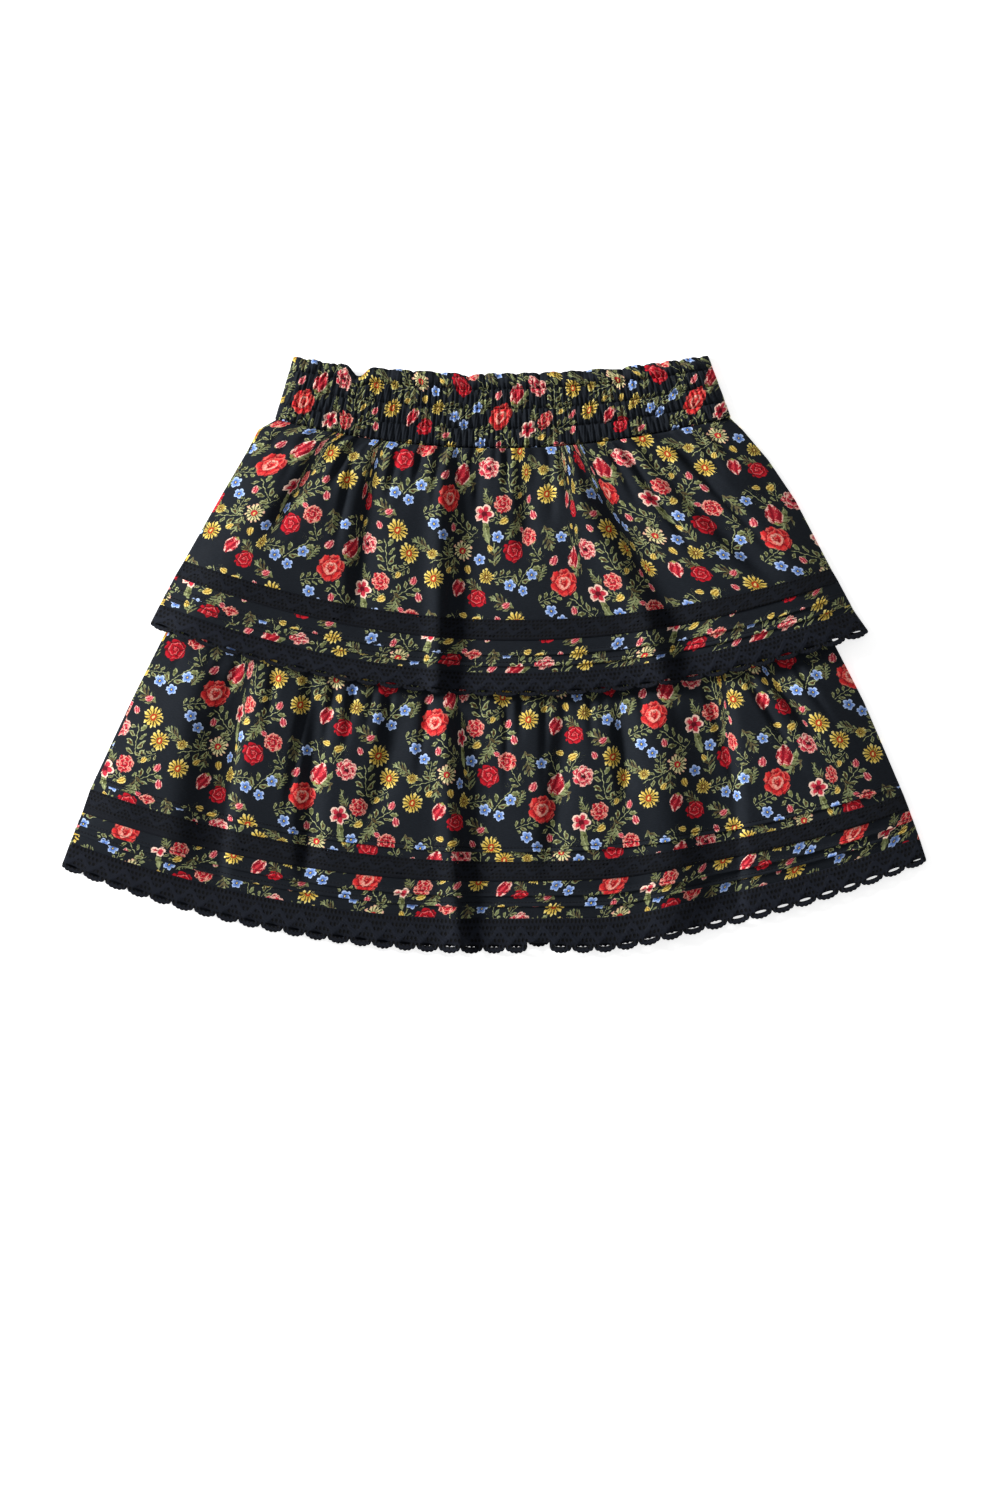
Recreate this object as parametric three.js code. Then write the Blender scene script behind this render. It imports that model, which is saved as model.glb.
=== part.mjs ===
import * as THREE from 'three';
import { mergeVertices } from 'three/addons/utils/BufferGeometryUtils.js';

// A skort of two gathered tiers, laid flat on its back. Sizes are in millimetres: X runs across
// the garment, +Y runs from the hem to the waist, and Z is the height over the surface under it.

// Walls of the pieces, and the air between neighbours.
const CLOTH_WALL = 1.4;
const SHORTS_WALL = 1;
const BAND_WALL = 2.7;
const GAP = 0.3;
const SEAM_TRIM = 0.2;

// Rows across the garment: each goes from the left fold through the middle to the right fold.
const WAIST_TOP = { leftX: -139, leftY: 208, midX: 5, midY: 196.5, rightX: 148.5, rightY: 209 };
const WAIST_SEAM = { leftX: -152, leftY: 164.5, midX: 5, midY: 144, rightX: 164.5, rightY: 166 };

const UPPER_ROWS = {
  seam: WAIST_SEAM,
  flare: { leftX: -164.5, leftY: 157.5, midX: 5, midY: 137, rightX: 173.5, rightY: 157.5 },
  hip: { leftX: -172.5, leftY: 142, midX: 5, midY: 119, rightX: 191.5, rightY: 136.5 },
  middle: { leftX: -190.5, leftY: 111.5, midX: 6, midY: 80.5, rightX: 210.5, rightY: 108.5 },
  insertionTop: { leftX: -217, leftY: 65, midX: 8, midY: 23, rightX: 236, rightY: 59.5 },
  insertionBottom: { leftX: -222.5, leftY: 56, midX: 8, midY: 11, rightX: 240.5, rightY: 52 },
  bandBottom: { leftX: -234, leftY: 34.5, midX: 8.5, midY: -14, rightX: 252, rightY: 30.5 },
  hem: { leftX: -241.5, leftY: 20, midX: 9, midY: -29.5, rightX: 263.5, rightY: 14.5 },
};

const LOWER_ROWS = {
  seam: { leftX: -222, leftY: 31.5, midX: 4, midY: 3.5, rightX: 226, rightY: 31.5 },
  middle: { leftX: -253.5, leftY: -31.5, midX: 2, midY: -71.5, rightX: 259, rightY: -33 },
  insertionTop: { leftX: -283, leftY: -94.5, midX: 0.5, midY: -145.5, rightX: 287, rightY: -98 },
  insertionBottom: { leftX: -288, leftY: -109, midX: 0.5, midY: -157, rightX: 290.5, rightY: -107 },
  bandBottom: { leftX: -297.5, leftY: -131.5, midX: 0, midY: -185.5, rightX: 298.5, rightY: -128 },
  hem: { leftX: -304, leftY: -149, midX: 0, midY: -209, rightX: 304, rightY: -145 },
};

// To the right of the middle the lower hem hangs a little further down.
const HEM_SAG = { x: 85, depth: 3.8, halfWidth: 38, fromDrop: 0.5 };

// Main folds: valleys in the puffed cloth. Across runs from -1 at the left fold to 1 at the right
// one, drop from 0 at the seam to 1 at the hem, depth is a share of the puff, and left and right
// are the half widths of the valley in mm.
const UPPER_FOLDS = [
  { topAcross: -0.8, endAcross: -0.97, fromDrop: 0, toDrop: 0.28, depth: 0.7, left: 8, right: 9 },
  { topAcross: -0.72, endAcross: -0.8, fromDrop: 0, toDrop: 0.55, depth: 0.9, left: 9, right: 11 },
  { topAcross: -0.52, endAcross: -0.455, fromDrop: 0, toDrop: 0.8, depth: 0.85, left: 10, right: 12 },
  { topAcross: -0.19, endAcross: -0.155, fromDrop: 0, toDrop: 1.2, depth: 1, left: 7, right: 18 },
  { topAcross: 0.11, endAcross: 0.06, fromDrop: 0, toDrop: 0.5, depth: 0.7, left: 9, right: 9 },
  { topAcross: 0.27, endAcross: 0.25, fromDrop: 0, toDrop: 0.25, depth: 0.6, left: 8, right: 8 },
  { topAcross: 0.33, endAcross: 0.5, fromDrop: 0.03, toDrop: 0.85, depth: 0.9, left: 14, right: 12 },
  { topAcross: 0.58, endAcross: 0.86, fromDrop: 0.02, toDrop: 0.75, depth: 0.85, left: 10, right: 14 },
];

const LOWER_FOLDS = [
  { topAcross: -0.82, endAcross: -0.65, fromDrop: 0.05, toDrop: 0.95, depth: 0.9, left: 20, right: 8 },
  { topAcross: -0.54, endAcross: -0.44, fromDrop: 0.05, toDrop: 0.9, depth: 0.7, left: 9, right: 9 },
  { topAcross: -0.27, endAcross: -0.33, fromDrop: 0.1, toDrop: 0.65, depth: 0.7, left: 9, right: 12 },
  { topAcross: -0.13, endAcross: -0.03, fromDrop: 0, toDrop: 1.2, depth: 1, left: 7, right: 16 },
  { topAcross: 0, endAcross: 0, fromDrop: 0.1, toDrop: 0.35, depth: 0.5, left: 8, right: 8 },
  { topAcross: 0.2, endAcross: 0.12, fromDrop: 0.1, toDrop: 0.8, depth: 0.75, left: 10, right: 10 },
  { topAcross: 0.35, endAcross: 0.33, fromDrop: 0.1, toDrop: 0.6, depth: 0.6, left: 8, right: 8 },
  { topAcross: 0.56, endAcross: 0.46, fromDrop: 0.05, toDrop: 0.95, depth: 0.9, left: 22, right: 9 },
  { topAcross: 0.68, endAcross: 0.76, fromDrop: 0.05, toDrop: 0.45, depth: 0.7, left: 8, right: 10 },
  { topAcross: 0.8, endAcross: 0.8, fromDrop: 0.05, toDrop: 0.3, depth: 0.5, left: 8, right: 8 },
];
const FOLD_START_FADE = 0.06;
const FOLD_END_FADE = 0.2;

// How far the cloth puffs up between its folds, and how high the small gathers stand, by drop.
const UPPER_PUFF = [
  { drop: 0, puff: 0.6, gather: 1.1 },
  { drop: 0.08, puff: 2.5, gather: 1.6 },
  { drop: 0.2, puff: 5, gather: 1.6 },
  { drop: 0.45, puff: 6.5, gather: 0.8 },
  { drop: 0.7, puff: 5.5, gather: 0 },
  { drop: 1, puff: 4.5, gather: 0 },
];
const LOWER_PUFF = [
  { drop: 0, puff: 2, gather: 1.2 },
  { drop: 0.15, puff: 4, gather: 1.6 },
  { drop: 0.3, puff: 6.5, gather: 1.5 },
  { drop: 0.5, puff: 7.5, gather: 0.8 },
  { drop: 0.7, puff: 6, gather: 0 },
  { drop: 1, puff: 4, gather: 0 },
];

// Under the upper tier the lower one is pressed down to a share of its puff.
const PRESSED_SHARE = 0.3;
const PRESSED_HEIGHT = 2;
const PRESSED_RUN = 30;

// Heights of the layers, from the surface up: the backs, the shorts, then the fronts.
const LAYER = CLOTH_WALL + GAP;
const SHORTS_BACK_Z = 2 * LAYER;
const SHORTS_FRONT_Z = SHORTS_BACK_Z + SHORTS_WALL + GAP;
const FRONT_Z = SHORTS_FRONT_Z + SHORTS_WALL + GAP;
const UPPER_OVER_LOWER = CLOTH_WALL + GAP + PRESSED_HEIGHT;
const SIDE_ROUNDING = 18;
const LIFT_FROM_DROP = 0.4;

// The lower back lies on the upper back as far as the upper hem, and then comes down.
const LOWER_BACK_STEP = [
  { drop: 0, height: LAYER },
  { drop: 0.16, height: LAYER },
  { drop: 0.28, height: 0 },
  { drop: 1, height: 0 },
];

// The lower front lies on the shorts down to their legs, and then comes down onto the back.
const LOWER_FRONT_STEP = [
  { drop: 0, height: FRONT_Z },
  { drop: 0.76, height: FRONT_Z },
  { drop: 0.89, height: LAYER },
  { drop: 1, height: LAYER },
];

// The back lies just inside the front's outline: its middle is this much shorter at the hems.
const UPPER_BACK_RISE = 6;
const LOWER_BACK_RISE = 8;
const WAIST_BACK_DIP = 4;

// Pin-tucks: each is a small fold pressed towards the hem, as a share of its piece's drop.
const TUCK_DEPTH = 3;
const TUCK_HEIGHT = 0.7;
const TUCK_RETURN = 0.5;
const UPPER_BAND_TUCKS = [0.47, 0.76];
const LOWER_BAND_TUCKS = [0.41, 0.66];
const LOWER_TIER_TUCKS = [0.945];

// Scalloped edging: one slot in each scallop. Along and down are shares of one scallop.
const SCALLOP = {
  notch: 0.8,
  arc: [[0.14, 0.93], [0.35, 1], [0.65, 1], [0.86, 0.93]],
  plainArc: [[0.25, 1], [0.75, 1]],
  slotCentre: 0.77,
  slotHalfLength: 0.23,
  slotHalfHeight: 0.065,
  slotShoulder: 0.15,
};
const UPPER_SCALLOPS = 31;
const LOWER_SCALLOPS = 39;
const TURNED_SCALLOP = 21;
const TURNED_DOWN = 0.66;
const TURNED_SHARE = 0.14;

// Shirred waistband: rows of elastic, as shares of its height from the free header edge down.
const ELASTIC_ROWS = [0.205, 0.47, 0.735, 1];
const BAND_GATHERS = 56;
const BAND_PUFF = 0.7;
const BAND_GATHER = 0.9;
const ELASTIC_GATHER = 0.3;
const BAND_EDGE_SHARE = 0.6;
const BAND_MIDDLE_SHARE = 1.1;
const FRILL_WAVE = 0.7;
const FRILL_WAVES = BAND_GATHERS / 3;
const HEADER_DIPS = [
  { x: -94, depth: 7, halfWidth: 6 },
  { x: -115, depth: 1.2, halfWidth: 4 },
  { x: -18, depth: 1.8, halfWidth: 8 },
  { x: 84, depth: 1.2, halfWidth: 6 },
];

const TIER_GATHERS = 30;
const GATHER_SHIFT = 0.25;
const GATHER_TURN = 2.4;
const BACK_COLUMNS = 16;
const BAND_INSIDE_COLUMNS = 14;

// Shorts panels, from the waist to the leg: the inner edge is the centre seam, then the inseam.
const SHORTS_ROWS = [
  { centreX: 6, innerHalf: 0.2, innerY: 143.4, outerHalf: 138, outerY: 158.5 },
  { centreX: 5, innerHalf: 0.2, innerY: 80, outerHalf: 173, outerY: 94 },
  { centreX: 4, innerHalf: 0.2, innerY: 10, outerHalf: 205, outerY: 28 },
  { centreX: 2, innerHalf: 0.2, innerY: -98, outerHalf: 218, outerY: -72 },
  { centreX: 1, innerHalf: 22, innerY: -150, outerHalf: 226, outerY: -118 },
];
const SHORTS_COLUMNS = 4;

const PRINTED_CLOTH = { color: 0x1b1f27, roughness: 0.85, metalness: 0 };
const LACE = { color: 0x15171d, roughness: 0.9, metalness: 0 };
const PLAIN_CLOTH = { color: 0x14161b, roughness: 0.9, metalness: 0 };

const { clamp, lerp, smoothstep } = THREE.MathUtils;

function alongRow(row, across) {
  const halfX = (row.rightX - row.leftX) / 2;
  const halfY = (row.rightY - row.leftY) / 2;
  const bowX = (row.rightX + row.leftX) / 2 - row.midX;
  const bowY = (row.rightY + row.leftY) / 2 - row.midY;
  const x = row.midX + halfX * across + bowX * across * across;
  const y = row.midY + halfY * across + bowY * across * across;
  return new THREE.Vector2(x, y);
}

function rowHeightAt(row, x) {
  const across = (x - row.midX) * 2 / (row.rightX - row.leftX);
  return alongRow(row, across).y;
}

// A column of a table, read between its rows.
function readTable(table, drop, column) {
  let i = 1;
  while (i < table.length - 1 && table[i].drop < drop) i += 1;
  const before = table[i - 1];
  const after = table[i];
  const share = clamp((drop - before.drop) / (after.drop - before.drop), 0, 1);
  return lerp(before[column], after[column], share);
}

// A tier knows its rows with their drops, its folds, its puff and its length down the middle.
function makeTier(rows, folds, puff, isLower) {
  const list = Object.values(rows);
  const top = list[0].midY;
  const length = top - list[list.length - 1].midY;
  const drops = {};
  for (const [name, row] of Object.entries(rows)) drops[name] = (top - row.midY) / length;
  return { rows, list, folds, puff, isLower, length, drops, dropList: Object.values(drops) };
}

// The back of a tier: the same rows, with their middles moved up as they near the hem.
function backOf(tier, rise) {
  const rows = {};
  for (const [name, row] of Object.entries(tier.rows)) {
    rows[name] = { ...row, midY: row.midY + rise * tier.drops[name] };
  }
  return { ...tier, rows, list: Object.values(rows) };
}

function planPoint(tier, across, drop) {
  let i = 1;
  while (i < tier.list.length - 1 && tier.dropList[i] < drop) i += 1;
  const share = (drop - tier.dropList[i - 1]) / (tier.dropList[i] - tier.dropList[i - 1]);
  const point = alongRow(tier.list[i - 1], across).lerp(alongRow(tier.list[i], across), share);
  if (tier.isLower) {
    const away = (point.x - HEM_SAG.x) / HEM_SAG.halfWidth;
    point.y -= HEM_SAG.depth * Math.exp(-(away ** 2)) * smoothstep(drop, HEM_SAG.fromDrop, 1);
  }
  return point;
}

function halfWidth(tier, drop) {
  return (planPoint(tier, 1, drop).x - planPoint(tier, -1, drop).x) / 2;
}

function sideRise(tier, across, drop) {
  const inside = (1 - Math.abs(across)) * halfWidth(tier, drop);
  return Math.sin(Math.PI / 2 * clamp(inside / SIDE_ROUNDING, 0, 1));
}

// What the folds leave of the puff, from 1 between them to 0 in the deepest.
function betweenFolds(tier, across, drop) {
  const half = halfWidth(tier, drop);
  let kept = 1;
  for (const fold of tier.folds) {
    const share = (drop - fold.fromDrop) / (fold.toDrop - fold.fromDrop);
    const line = lerp(fold.topAcross, fold.endAcross, clamp(share, 0, 1));
    const away = (across - line) * half;
    const width = away < 0 ? fold.left : fold.right;
    const start = smoothstep(drop, fold.fromDrop - FOLD_START_FADE, fold.fromDrop);
    const end = 1 - smoothstep(drop, fold.toDrop - FOLD_END_FADE, fold.toDrop);
    kept *= 1 - fold.depth * start * end * Math.exp(-((away / width) ** 2));
  }
  return kept;
}

function upperBase(tier, across, drop) {
  const lift = smoothstep(drop, LIFT_FROM_DROP, tier.drops.insertionTop);
  return LAYER + (FRONT_Z - LAYER + UPPER_OVER_LOWER * lift) * sideRise(tier, across, drop);
}

function lowerBase(tier, across, drop) {
  const edge = readTable(LOWER_BACK_STEP, drop, 'height') + LAYER;
  const middle = readTable(LOWER_FRONT_STEP, drop, 'height');
  return edge + (middle - edge) * sideRise(tier, across, drop);
}

// How much of the lower tier's puff is free of the upper tier that lies on it.
function freeShare(point) {
  const below = rowHeightAt(UPPER_ROWS.hem, point.x) - point.y;
  return lerp(PRESSED_SHARE, 1, smoothstep(below, 0, PRESSED_RUN));
}

// Both faces of a front at one place: the inside follows the folds, the outside has the gathers.
function frontFaces(tier, across, drop, gatherTop) {
  const point = planPoint(tier, across, drop);
  const base = tier.isLower ? lowerBase(tier, across, drop) : upperBase(tier, across, drop);
  const free = (tier.isLower ? freeShare(point) : 1) * sideRise(tier, across, drop);
  const inside = base + free * readTable(tier.puff, drop, 'puff') * betweenFolds(tier, across, drop);
  const gather = free * gatherTop * readTable(tier.puff, drop, 'gather');
  return { point, inside, outside: inside + CLOTH_WALL + gather };
}

function backFaces(tier, across, drop) {
  const point = planPoint(tier, across, drop);
  const inside = tier.isLower ? readTable(LOWER_BACK_STEP, drop, 'height') : 0;
  return { point, inside, outside: inside + CLOTH_WALL };
}

function at(point, z) {
  return new THREE.Vector3(point.x, point.y, z);
}

// Triangles between two edges of a wall that run the same way, with their own numbers of points.
function zip(upperEdge, lowerEdge, indices, turned) {
  const upperSteps = upperEdge.length - 1;
  const lowerSteps = lowerEdge.length - 1;
  let u = 0;
  let l = 0;
  while (u < upperSteps || l < lowerSteps) {
    const useUpper = l === lowerSteps || (u < upperSteps && (u + 1) / upperSteps <= (l + 1) / lowerSteps);
    const third = useUpper ? upperEdge[u + 1] : lowerEdge[l + 1];
    if (turned) indices.push(upperEdge[u], third, lowerEdge[l]);
    else indices.push(upperEdge[u], lowerEdge[l], third);
    if (useUpper) u += 1;
    else l += 1;
  }
}

// A closed wall from a grid of outer points and a grid of inner points. Rows run from the waist
// to the hem, columns from the left fold to the right one, and the grids may differ in count.
function closedWall(outer, inner) {
  const positions = [];
  const indices = [];
  const store = (grid) => grid.map((row) => row.map((p) => positions.push(p.x, p.y, p.z) / 3 - 1));
  const face = (grid, turned) => {
    for (let r = 0; r < grid.length - 1; r += 1) {
      for (let c = 0; c < grid[r].length - 1; c += 1) {
        const corners = [grid[r][c], grid[r + 1][c], grid[r + 1][c + 1], grid[r][c + 1]];
        if (turned) corners.reverse();
        const [p, q, v, w] = corners;
        indices.push(p, q, v, p, v, w);
      }
    }
  };
  const top = store(outer);
  const under = store(inner);
  face(top, false);
  face(under, true);
  const columnOf = (grid, last) => grid.map((row) => row[last ? row.length - 1 : 0]);
  zip(top[top.length - 1], under[under.length - 1], indices, false);
  zip(top[0], under[0], indices, true);
  zip(columnOf(top, false), columnOf(under, false), indices, false);
  zip(columnOf(top, true), columnOf(under, true), indices, true);
  const geometry = new THREE.BufferGeometry();
  geometry.setAttribute('position', new THREE.Float32BufferAttribute(positions, 3));
  geometry.setIndex(indices);
  geometry.computeVertexNormals();
  return geometry;
}

// Columns on the ridges and valleys of gathers that are a little uneven in width.
function gatherColumns(gathers) {
  const steps = gathers * 2;
  const columns = [];
  for (let i = 0; i <= steps; i += 1) {
    const inside = i > 0 && i < steps;
    const shift = inside ? GATHER_SHIFT * Math.sin(i * GATHER_TURN) : 0;
    columns.push({ across: -1 + 2 * (i + shift) / steps, ridge: i % 2 });
  }
  return columns;
}

function evenColumns(steps) {
  return Array.from({ length: steps + 1 }, (_, i) => ({ across: -1 + 2 * i / steps, ridge: 0 }));
}

// The drops of a piece between two named rows, trimmed at its seams, with its tucks' three lines.
function pieceDrops(tier, fromRow, toRow, inner, tucks) {
  const trim = SEAM_TRIM / tier.length;
  const from = tier.drops[fromRow] + trim;
  const to = tier.drops[toRow] - trim;
  const lines = [from, to, ...inner.filter((drop) => drop > from && drop < to)];
  const plain = lines.map((drop) => ({ drop, raised: 0 }));
  for (const tuck of tucks) {
    const edge = lerp(from, to, tuck);
    plain.push({ drop: edge - TUCK_DEPTH / tier.length, raised: 0 });
    plain.push({ drop: edge, raised: TUCK_HEIGHT });
    plain.push({ drop: edge + TUCK_RETURN / tier.length, raised: 0 });
  }
  return plain.sort((one, other) => one.drop - other.drop);
}

function frontPiece(tier, fromRow, toRow, options = {}) {
  const { inner = [], tucks = [] } = options;
  const columns = gatherColumns(TIER_GATHERS);
  const outerDrops = pieceDrops(tier, fromRow, toRow, inner, tucks);
  const innerDrops = pieceDrops(tier, fromRow, toRow, inner, []);
  const outer = outerDrops.map(({ drop, raised }) => columns.map(({ across, ridge }) => {
    const faces = frontFaces(tier, across, drop, ridge);
    return at(faces.point, faces.outside + raised * sideRise(tier, across, drop));
  }));
  const inside = innerDrops.map(({ drop }) => columns.map(({ across }) => {
    const faces = frontFaces(tier, across, drop, 0);
    return at(faces.point, faces.inside);
  }));
  return closedWall(outer, inside);
}

function backPiece(tier, fromRow, toRow, inner = []) {
  const drops = pieceDrops(tier, fromRow, toRow, inner, []);
  const columns = evenColumns(BACK_COLUMNS);
  const grid = (face) => drops.map(({ drop }) => columns.map(({ across }) => {
    const faces = backFaces(tier, across, drop);
    return at(faces.point, faces[face]);
  }));
  return closedWall(grid('outside'), grid('inside'));
}

function slotOutline() {
  const { slotCentre, slotHalfLength, slotHalfHeight, slotShoulder } = SCALLOP;
  const corners = [[-slotHalfLength, 0], [-slotShoulder, -1], [slotShoulder, -1]];
  const opposite = [[slotHalfLength, 0], [slotShoulder, 1], [-slotShoulder, 1]];
  return [...corners, ...opposite].map(([along, side]) => (
    new THREE.Vector2(0.5 + along, slotCentre + side * slotHalfHeight)
  ));
}

// One strip of scalloped edging: a repeated tile, with its slot cut right through where asked.
function laceEdge(tier, scallops, facesAt, withSlots) {
  const trim = SEAM_TRIM / tier.length;
  const from = tier.drops.bandBottom + trim;
  const tileTop = [new THREE.Vector2(1, 0), new THREE.Vector2(0, 0)];
  const arc = withSlots ? SCALLOP.arc : SCALLOP.plainArc;
  const tileEdge = [[0, SCALLOP.notch], ...arc, [1, SCALLOP.notch]];
  const contour = [...tileTop, ...tileEdge.map(([along, down]) => new THREE.Vector2(along, down))];
  const holes = withSlots ? [slotOutline()] : [];
  const triangles = THREE.ShapeUtils.triangulateShape(contour, holes);
  const points = [...contour, ...holes.flat()];
  const positions = [];
  const corner = (scallop, point, face) => {
    const across = -1 + 2 * (scallop + point.x) / scallops;
    const isNotch = point.x === 0 || point.x === 1;
    const turned = withSlots && tier.isLower && scallop === TURNED_SCALLOP && !isNotch;
    const below = Math.max(point.y - TURNED_DOWN, 0);
    const down = turned ? point.y - below * (1 - TURNED_SHARE) : point.y;
    const faces = facesAt(tier, across, lerp(from, 1, down), 0);
    return at(faces.point, faces[face]);
  };
  const addTriangle = (...corners) => corners.forEach((p) => positions.push(p.x, p.y, p.z));
  const addWall = (scallop, start, end) => {
    const [a, b] = [corner(scallop, start, 'outside'), corner(scallop, end, 'outside')];
    const [c, d] = [corner(scallop, end, 'inside'), corner(scallop, start, 'inside')];
    addTriangle(a, d, c);
    addTriangle(a, c, b);
  };
  for (let scallop = 0; scallop < scallops; scallop += 1) {
    for (const triangle of triangles) {
      const [a, b, c] = triangle.map((i) => points[i]);
      const turn = (b.x - a.x) * (c.y - a.y) - (b.y - a.y) * (c.x - a.x);
      const [p, q, r] = turn < 0 ? [a, b, c] : [a, c, b];
      addTriangle(...[p, q, r].map((point) => corner(scallop, point, 'outside')));
      addTriangle(...[p, r, q].map((point) => corner(scallop, point, 'inside')));
    }
    const last = contour.length;
    for (let i = 0; i < last; i += 1) {
      const start = contour[i];
      const end = contour[(i + 1) % last];
      const onLeft = start.x === 0 && end.x === 0;
      const onRight = start.x === 1 && end.x === 1;
      if (onLeft && scallop > 0) continue;
      if (onRight && scallop < scallops - 1) continue;
      addWall(scallop, start, end);
    }
    for (const hole of holes) {
      for (let i = 0; i < hole.length; i += 1) addWall(scallop, hole[i], hole[(i + 1) % hole.length]);
    }
  }
  const loose = new THREE.BufferGeometry();
  loose.setAttribute('position', new THREE.Float32BufferAttribute(positions, 3));
  const geometry = mergeVertices(loose, 1e-4);
  geometry.computeVertexNormals();
  return geometry;
}

function headerDip(x) {
  const dips = HEADER_DIPS.map((dip) => dip.depth * Math.exp(-(((x - dip.x) / dip.halfWidth) ** 2)));
  return dips.reduce((sum, depth) => sum + depth, 0);
}

function bandPoint(topRow, across, down, dipped) {
  const top = alongRow(topRow, across);
  if (dipped) top.y -= headerDip(top.x) + FRILL_WAVE * (1 - Math.cos(across * Math.PI * FRILL_WAVES)) / 2;
  const trim = SEAM_TRIM / (WAIST_TOP.midY - WAIST_SEAM.midY);
  return top.lerp(alongRow(WAIST_SEAM, across), down * (1 - trim));
}

// The outside of the shirring: valleys on the elastic, puffs between, gathers across both.
function bandRows() {
  const rows = [{ down: 0, puff: 0.5, gather: 1 }, { down: ELASTIC_ROWS[0] * 0.5, puff: 0.6, gather: 1 }];
  ELASTIC_ROWS.forEach((down, i) => {
    if (i > 0) rows.push({ down: (down + ELASTIC_ROWS[i - 1]) / 2, puff: 1, gather: 1 });
    rows.push({ down, puff: 0, gather: ELASTIC_GATHER });
  });
  return rows;
}

function waistbandFront() {
  const columns = gatherColumns(BAND_GATHERS);
  const floor = BAND_WALL + GAP;
  const outer = bandRows().map(({ down, puff, gather }) => columns.map(({ across, ridge }) => {
    const raised = BAND_PUFF * puff + BAND_GATHER * gather * ridge;
    const inside = (1 - Math.abs(across)) * halfWidth(UPPER, 0);
    const rounding = Math.sin(Math.PI / 2 * clamp(inside / SIDE_ROUNDING, 0, 1));
    const wall = BAND_WALL * lerp(BAND_EDGE_SHARE, BAND_MIDDLE_SHARE, rounding);
    return at(bandPoint(WAIST_TOP, across, down, true), floor + wall + raised * rounding);
  }));
  const inner = [0, 1].map((down) => evenColumns(BAND_INSIDE_COLUMNS).map(({ across }) => (
    at(bandPoint(WAIST_TOP, across, down, false), floor)
  )));
  inner[0].forEach((point) => { point.y -= headerDip(point.x) + FRILL_WAVE; });
  return closedWall(outer, inner);
}

function waistbandBack() {
  const topRow = { ...WAIST_TOP, midY: WAIST_TOP.midY - WAIST_BACK_DIP };
  const grid = (z) => [0, 1].map((down) => evenColumns(BAND_INSIDE_COLUMNS).map(({ across }) => (
    at(bandPoint(topRow, across, down, false), z)
  )));
  return closedWall(grid(BAND_WALL), grid(0));
}

// A shorts panel on one side: -1 is the left half in the view from above, 1 is the right half.
function shortsPanel(side, z) {
  const grid = (height) => SHORTS_ROWS.map((row) => {
    const points = [];
    for (let i = 0; i <= SHORTS_COLUMNS; i += 1) {
      const share = (side < 0 ? SHORTS_COLUMNS - i : i) / SHORTS_COLUMNS;
      const x = row.centreX + side * lerp(row.innerHalf, row.outerHalf, share);
      const y = lerp(row.innerY, row.outerY, share * share);
      points.push(new THREE.Vector3(x, y, height));
    }
    return points;
  });
  return closedWall(grid(z + SHORTS_WALL), grid(z));
}

const UPPER = makeTier(UPPER_ROWS, UPPER_FOLDS, UPPER_PUFF, false);
const LOWER = makeTier(LOWER_ROWS, LOWER_FOLDS, LOWER_PUFF, true);
const UPPER_BACK = backOf(UPPER, UPPER_BACK_RISE);
const LOWER_BACK = backOf(LOWER, LOWER_BACK_RISE);

const UPPER_CLOTH_DROPS = [UPPER.drops.flare, UPPER.drops.hip, 0.27, LIFT_FROM_DROP, 0.55];
const UPPER_BACK_DROPS = [UPPER.drops.flare, UPPER.drops.hip, UPPER.drops.middle];
const LOWER_STEP_DROPS = LOWER_BACK_STEP.map(({ drop }) => drop);
const LOWER_CLOTH_DROPS = [...LOWER_STEP_DROPS, 0.08, 0.4, 0.53];

const group = new THREE.Group();

function addPiece(name, geometry, finish) {
  const mesh = new THREE.Mesh(geometry, new THREE.MeshStandardMaterial(finish));
  mesh.name = name;
  group.add(mesh);
}

function addTier(name, tier, back, clothDrops, stepDrops, bandTucks, clothTucks, scallops) {
  const front = { inner: clothDrops, tucks: clothTucks };
  addPiece(`${name}_tier_front`, frontPiece(tier, 'seam', 'insertionTop', front), PRINTED_CLOTH);
  addPiece(`${name}_tier_back`, backPiece(back, 'seam', 'insertionTop', stepDrops), PRINTED_CLOTH);
  addPiece(`${name}_insertion_front`, frontPiece(tier, 'insertionTop', 'insertionBottom'), LACE);
  addPiece(`${name}_insertion_back`, backPiece(back, 'insertionTop', 'insertionBottom'), LACE);
  const band = frontPiece(tier, 'insertionBottom', 'bandBottom', { tucks: bandTucks });
  addPiece(`${name}_tuck_band_front`, band, PRINTED_CLOTH);
  addPiece(`${name}_tuck_band_back`, backPiece(back, 'insertionBottom', 'bandBottom'), PRINTED_CLOTH);
  addPiece(`${name}_lace_edge_front`, laceEdge(tier, scallops, frontFaces, true), LACE);
  addPiece(`${name}_lace_edge_back`, laceEdge(back, scallops, backFaces, false), LACE);
}

addPiece('waistband_front', waistbandFront(), PRINTED_CLOTH);
addPiece('waistband_back', waistbandBack(), PRINTED_CLOTH);
addTier('upper', UPPER, UPPER_BACK, UPPER_CLOTH_DROPS, UPPER_BACK_DROPS,
  UPPER_BAND_TUCKS, [], UPPER_SCALLOPS);
addTier('lower', LOWER, LOWER_BACK, LOWER_CLOTH_DROPS, LOWER_STEP_DROPS,
  LOWER_BAND_TUCKS, LOWER_TIER_TUCKS, LOWER_SCALLOPS);
addPiece('shorts_left_front', shortsPanel(-1, SHORTS_FRONT_Z), PLAIN_CLOTH);
addPiece('shorts_right_front', shortsPanel(1, SHORTS_FRONT_Z), PLAIN_CLOTH);
addPiece('shorts_left_back', shortsPanel(-1, SHORTS_BACK_Z), PLAIN_CLOTH);
addPiece('shorts_right_back', shortsPanel(1, SHORTS_BACK_Z), PLAIN_CLOTH);

export default group;
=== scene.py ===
import math

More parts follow.
